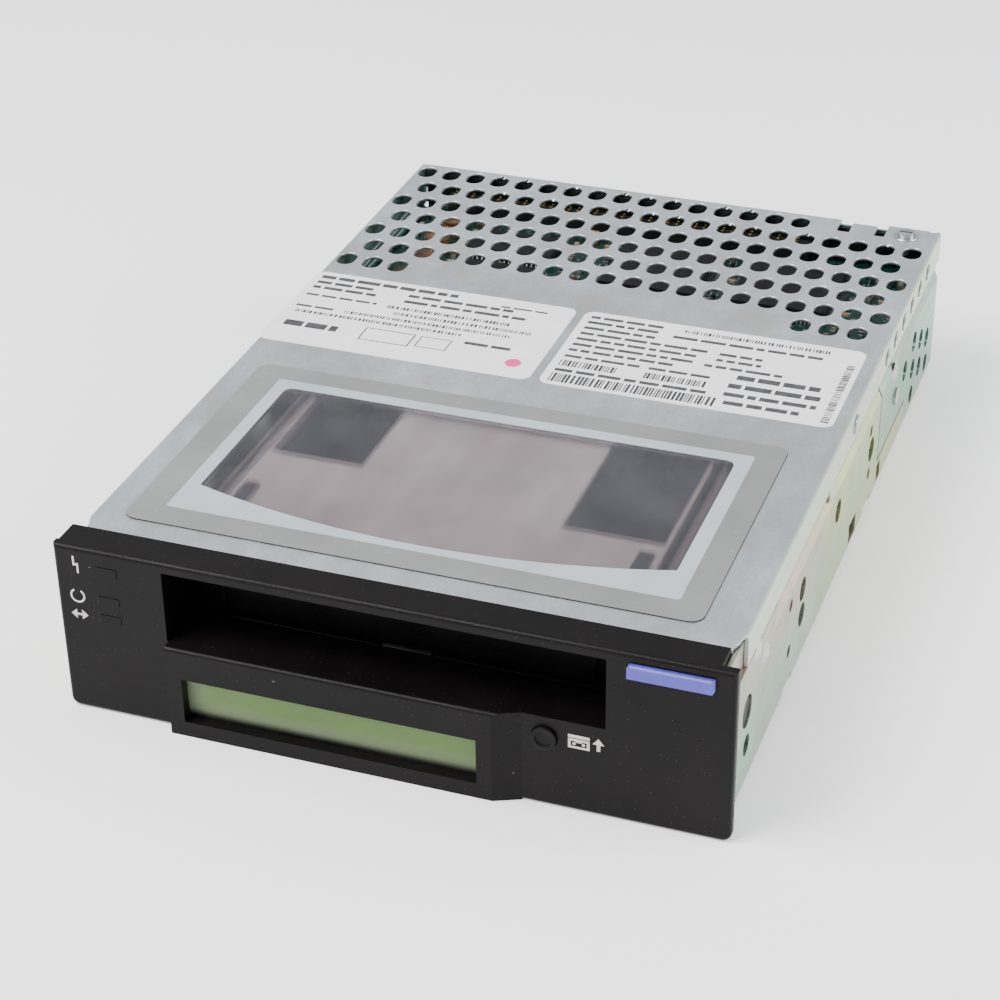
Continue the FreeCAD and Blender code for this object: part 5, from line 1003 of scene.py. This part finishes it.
dress(nodes["window_film"], make_milky_film())
film_low, film_high = millimetres(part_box("window_film"))
inset = 0.02
band_outer = rounded((film_low.x + inset, film_low.y + inset), (film_high.x - inset, film_high.y - inset), 3.0)
band_inner = rounded((-58.8, 13.6), (56.6, 74.0), 0.8)
slab("adhesive_band", [band_outer, band_inner], film_high.z, 0.03, make_adhesive())
frost = finish("frosted_margin", (0.33, 0.375, 0.42), (0.39, 0.435, 0.475), 60, (0.35, 0.48),
               bump=0.05, bump_scale=300, shine=0.3)
slab("frosted_margin", [band_inner, window], film_high.z, 0.015, frost)
grime = finish("glue_grime", (0.06, 0.055, 0.05), (0.16, 0.15, 0.14), 900, (0.6, 0.8))
marks = []
chance = random.Random(5)
x = film_low.x + 2
while x < film_high.x - 2:
    long = chance.choice((0.25, 0.4, 0.7, 1.3))
    y = film_low.y - chance.uniform(0.02, 0.16)
    marks.append([(x, y), (x + long, y + 0.02), (x + long, y + 0.13), (x, y + 0.11)])
    x += long + chance.choice((0.15, 0.3, 0.6, 1.4))
slab("glue_grime", marks, top, 0.015, grime)

# ---- labels ------------------------------------------------------------------------------
# Two white polyester labels with round corners, each printed black with plain rows of bars.
# The left one has two ruled boxes and a round pink inspection dot.


def bars(left, right, low, high, seed):
    """Upright bars of uneven width, as on a printed code."""
    chance = random.Random(seed)
    loops = []
    x = left
    while x < right - 0.3:
        wide = chance.choice((0.3, 0.3, 0.45, 0.65))
        loops.append(oblong(x, x + wide, low, high))
        x += wide + chance.choice((0.25, 0.25, 0.4, 0.6))
    return loops


def dashes(left, right, low, high, seed):
    """One row of solid dashes of uneven length."""
    chance = random.Random(seed)
    loops = []
    x = left
    while x < right - 1:
        long = min(chance.uniform(1.6, 6.5), right - x)
        loops.append(oblong(x, x + long, low, high))
        x += long + 0.8
    return loops


def ruled_box(low, high, line):
    """The four lines of an empty box."""
    (x0, y0), (x1, y1) = low, high
    return [oblong(x0, x1, y0, y0 + line), oblong(x0, x1, y1 - line, y1),
            oblong(x0, x0 + line, y0 + line, y1 - line), oblong(x1 - line, x1, y0 + line, y1 - line)]


paper = finish("label_film", (0.80, 0.80, 0.79), (0.87, 0.87, 0.86), 90, (0.34, 0.46), bump=0.04)
ink = finish("label_ink", (0.015, 0.015, 0.018), (0.035, 0.035, 0.04), 400, (0.4, 0.55))
soft_ink = finish("soft_ink", (0.03, 0.03, 0.033), (0.06, 0.06, 0.065), 500, (0.4, 0.55))
label_thick = 0.08
slab("left_label", [rounded((-73.0, 92.0), (-3.3, 130.5), 2.5)], top, label_thick, paper)
slab("right_label", [rounded((-1.0, 92.0), (69.5, 130.5), 2.5)], top, label_thick, paper)
code_spots = ((-49, -17, 116.4, 117.9), (-46, -10, 113.4, 114.9), (-70, -26, 107.7, 109.1),
              (-58, -14, 110.5, 111.9), (25, 61, 126.6, 128.2), (1, 15, 101.4, 104.4),
              (22, 37, 101.4, 104.4), (1, 41, 93.4, 97.6))
codes = []
for seed, spot in enumerate(code_spots, 1):
    codes += bars(*spot, seed)
codes += [[(y, x) for x, y in loop] for loop in bars(94, 123, 66.3, 68.2, 9)]
row_spots = ((-71, -34, 126.9, 128.6), (-71, -55, 124.0, 125.4), (-46, -18, 123.6, 125.0),
             (-71, -54, 121.2, 122.6), (-46, -14, 120.4, 121.8), (-71, -52, 117.1, 118.1),
             (-71, -61, 110.8, 111.8), (-22, -9, 125.6, 126.4), (-70, -56, 100.4, 103.2),
             (-24, -12, 104.4, 105.8), (1, 21, 127.0, 128.3), (1, 19, 124.2, 125.5),
             (23, 60, 123.2, 124.5), (1, 19, 121.2, 122.5), (1, 33, 118.2, 119.5),
             (1, 31, 115.2, 116.5), (1, 31, 112.2, 113.5), (1, 28, 109.2, 110.5), (1, 20, 106.0, 107.2),
             (36, 47, 118.0, 119.3), (36, 47, 115.0, 116.3), (34, 53, 111.6, 112.9), (1, 38, 98.6, 100.0),
             (22, 37, 106.0, 107.2), (43, 63, 107.6, 109.8), (42, 64, 103.2, 105.4), (42, 64, 99.2, 101.0),
             (43, 61, 95.2, 97.0))
rows = []
for seed, spot in enumerate(row_spots, 11):
    rows += dashes(*spot, seed)
ruled = ruled_box((-49.5, 98.8), (-36.5, 105.2), 0.35) + ruled_box((-35.0, 99.5), (-27.0, 105.0), 0.3)
label_top = top + label_thick
slab("label_codes", codes, label_top, 0.012, ink)
slab("label_rows", rows, label_top, 0.012, soft_ink)
slab("label_boxes", ruled, label_top, 0.012, ink)
pink = finish("dot_pink", (0.78, 0.035, 0.22), (0.84, 0.055, 0.27), 300, (0.4, 0.5), shine=0.15)
slab("pink_dot", [stadium(-9.4, 99.0, 4.0, 4.0, 8)], label_top, 0.02, pink)

# ---- case screws -------------------------------------------------------------------------
# Zinc-plated pan-head screws hold the cover and the rear shield. The one in the top has a
# turned steel washer under its head.

dress(nodes["case_screws"], bright_steel)
washer = ((1.5, 0.0), (3.2, 0.0), (3.3, 0.12), (3.2, 0.25), (1.5, 0.25), (1.5, 0.0))
turned("screw_washer", [((screw_x, last_row, top), (0, 0, 1), washer)], bright_steel)

# ---- studio ------------------------------------------------------------------------------
# The drive stands on a plain pale floor under a broad soft light, with a weaker one at the
# right that picks out its side, and is looked at from the front right and above.

floor_mesh = bpy.data.meshes.new("floor")
ground = -0.0027
floor_mesh.from_pydata([(x, y, ground) for x, y in oblong(-3, 3, -3, 3)], [], [(0, 1, 2, 3)])
floor = bpy.data.objects.new("floor", floor_mesh)
bpy.context.scene.collection.objects.link(floor)
dress(floor, finish("pale_floor", (0.95, 0.95, 0.95), (0.97, 0.97, 0.97), 3, (0.85, 0.95)))
floor_shader = floor.active_material.node_tree.nodes["Principled BSDF"]
floor_shader.inputs["Emission Color"].default_value = (1, 1, 1, 1)
floor_shader.inputs["Emission Strength"].default_value = 0.3
world = bpy.data.worlds.new("studio")
bpy.context.scene.world = world
world.use_nodes = True
sky = world.node_tree.nodes["Background"]
sky.inputs["Color"].default_value = (0.96, 0.98, 1.0, 1)
sky.inputs["Strength"].default_value = 0.9
for name, spot, aim, size, power in (("key", (-0.5, -0.35, 0.9), (0, 0.09, 0), 0.7, 22.0),
                                     ("rim", (0.9, 0.3, 0.5), (0.05, 0.1, 0), 0.6, 9.0)):
    light = bpy.data.lights.new(name, "AREA")
    light.size = size
    light.energy = power
    lamp = bpy.data.objects.new(name, light)
    bpy.context.scene.collection.objects.link(lamp)
    lamp.location = spot
    lamp.rotation_euler = (Vector(aim) - Vector(spot)).to_track_quat("-Z", "Y").to_euler()
lens = bpy.data.cameras.new("camera")
lens.lens = 88.57
lens.sensor_width = 36
lens.clip_start = 0.01
camera = bpy.data.objects.new("camera", lens)
bpy.context.scene.collection.objects.link(camera)
camera.location = (0.16562, -0.38749, 0.31511)
camera.rotation_euler = (math.radians(58.662), math.radians(0.752), math.radians(19.726))
bpy.context.scene.camera = camera
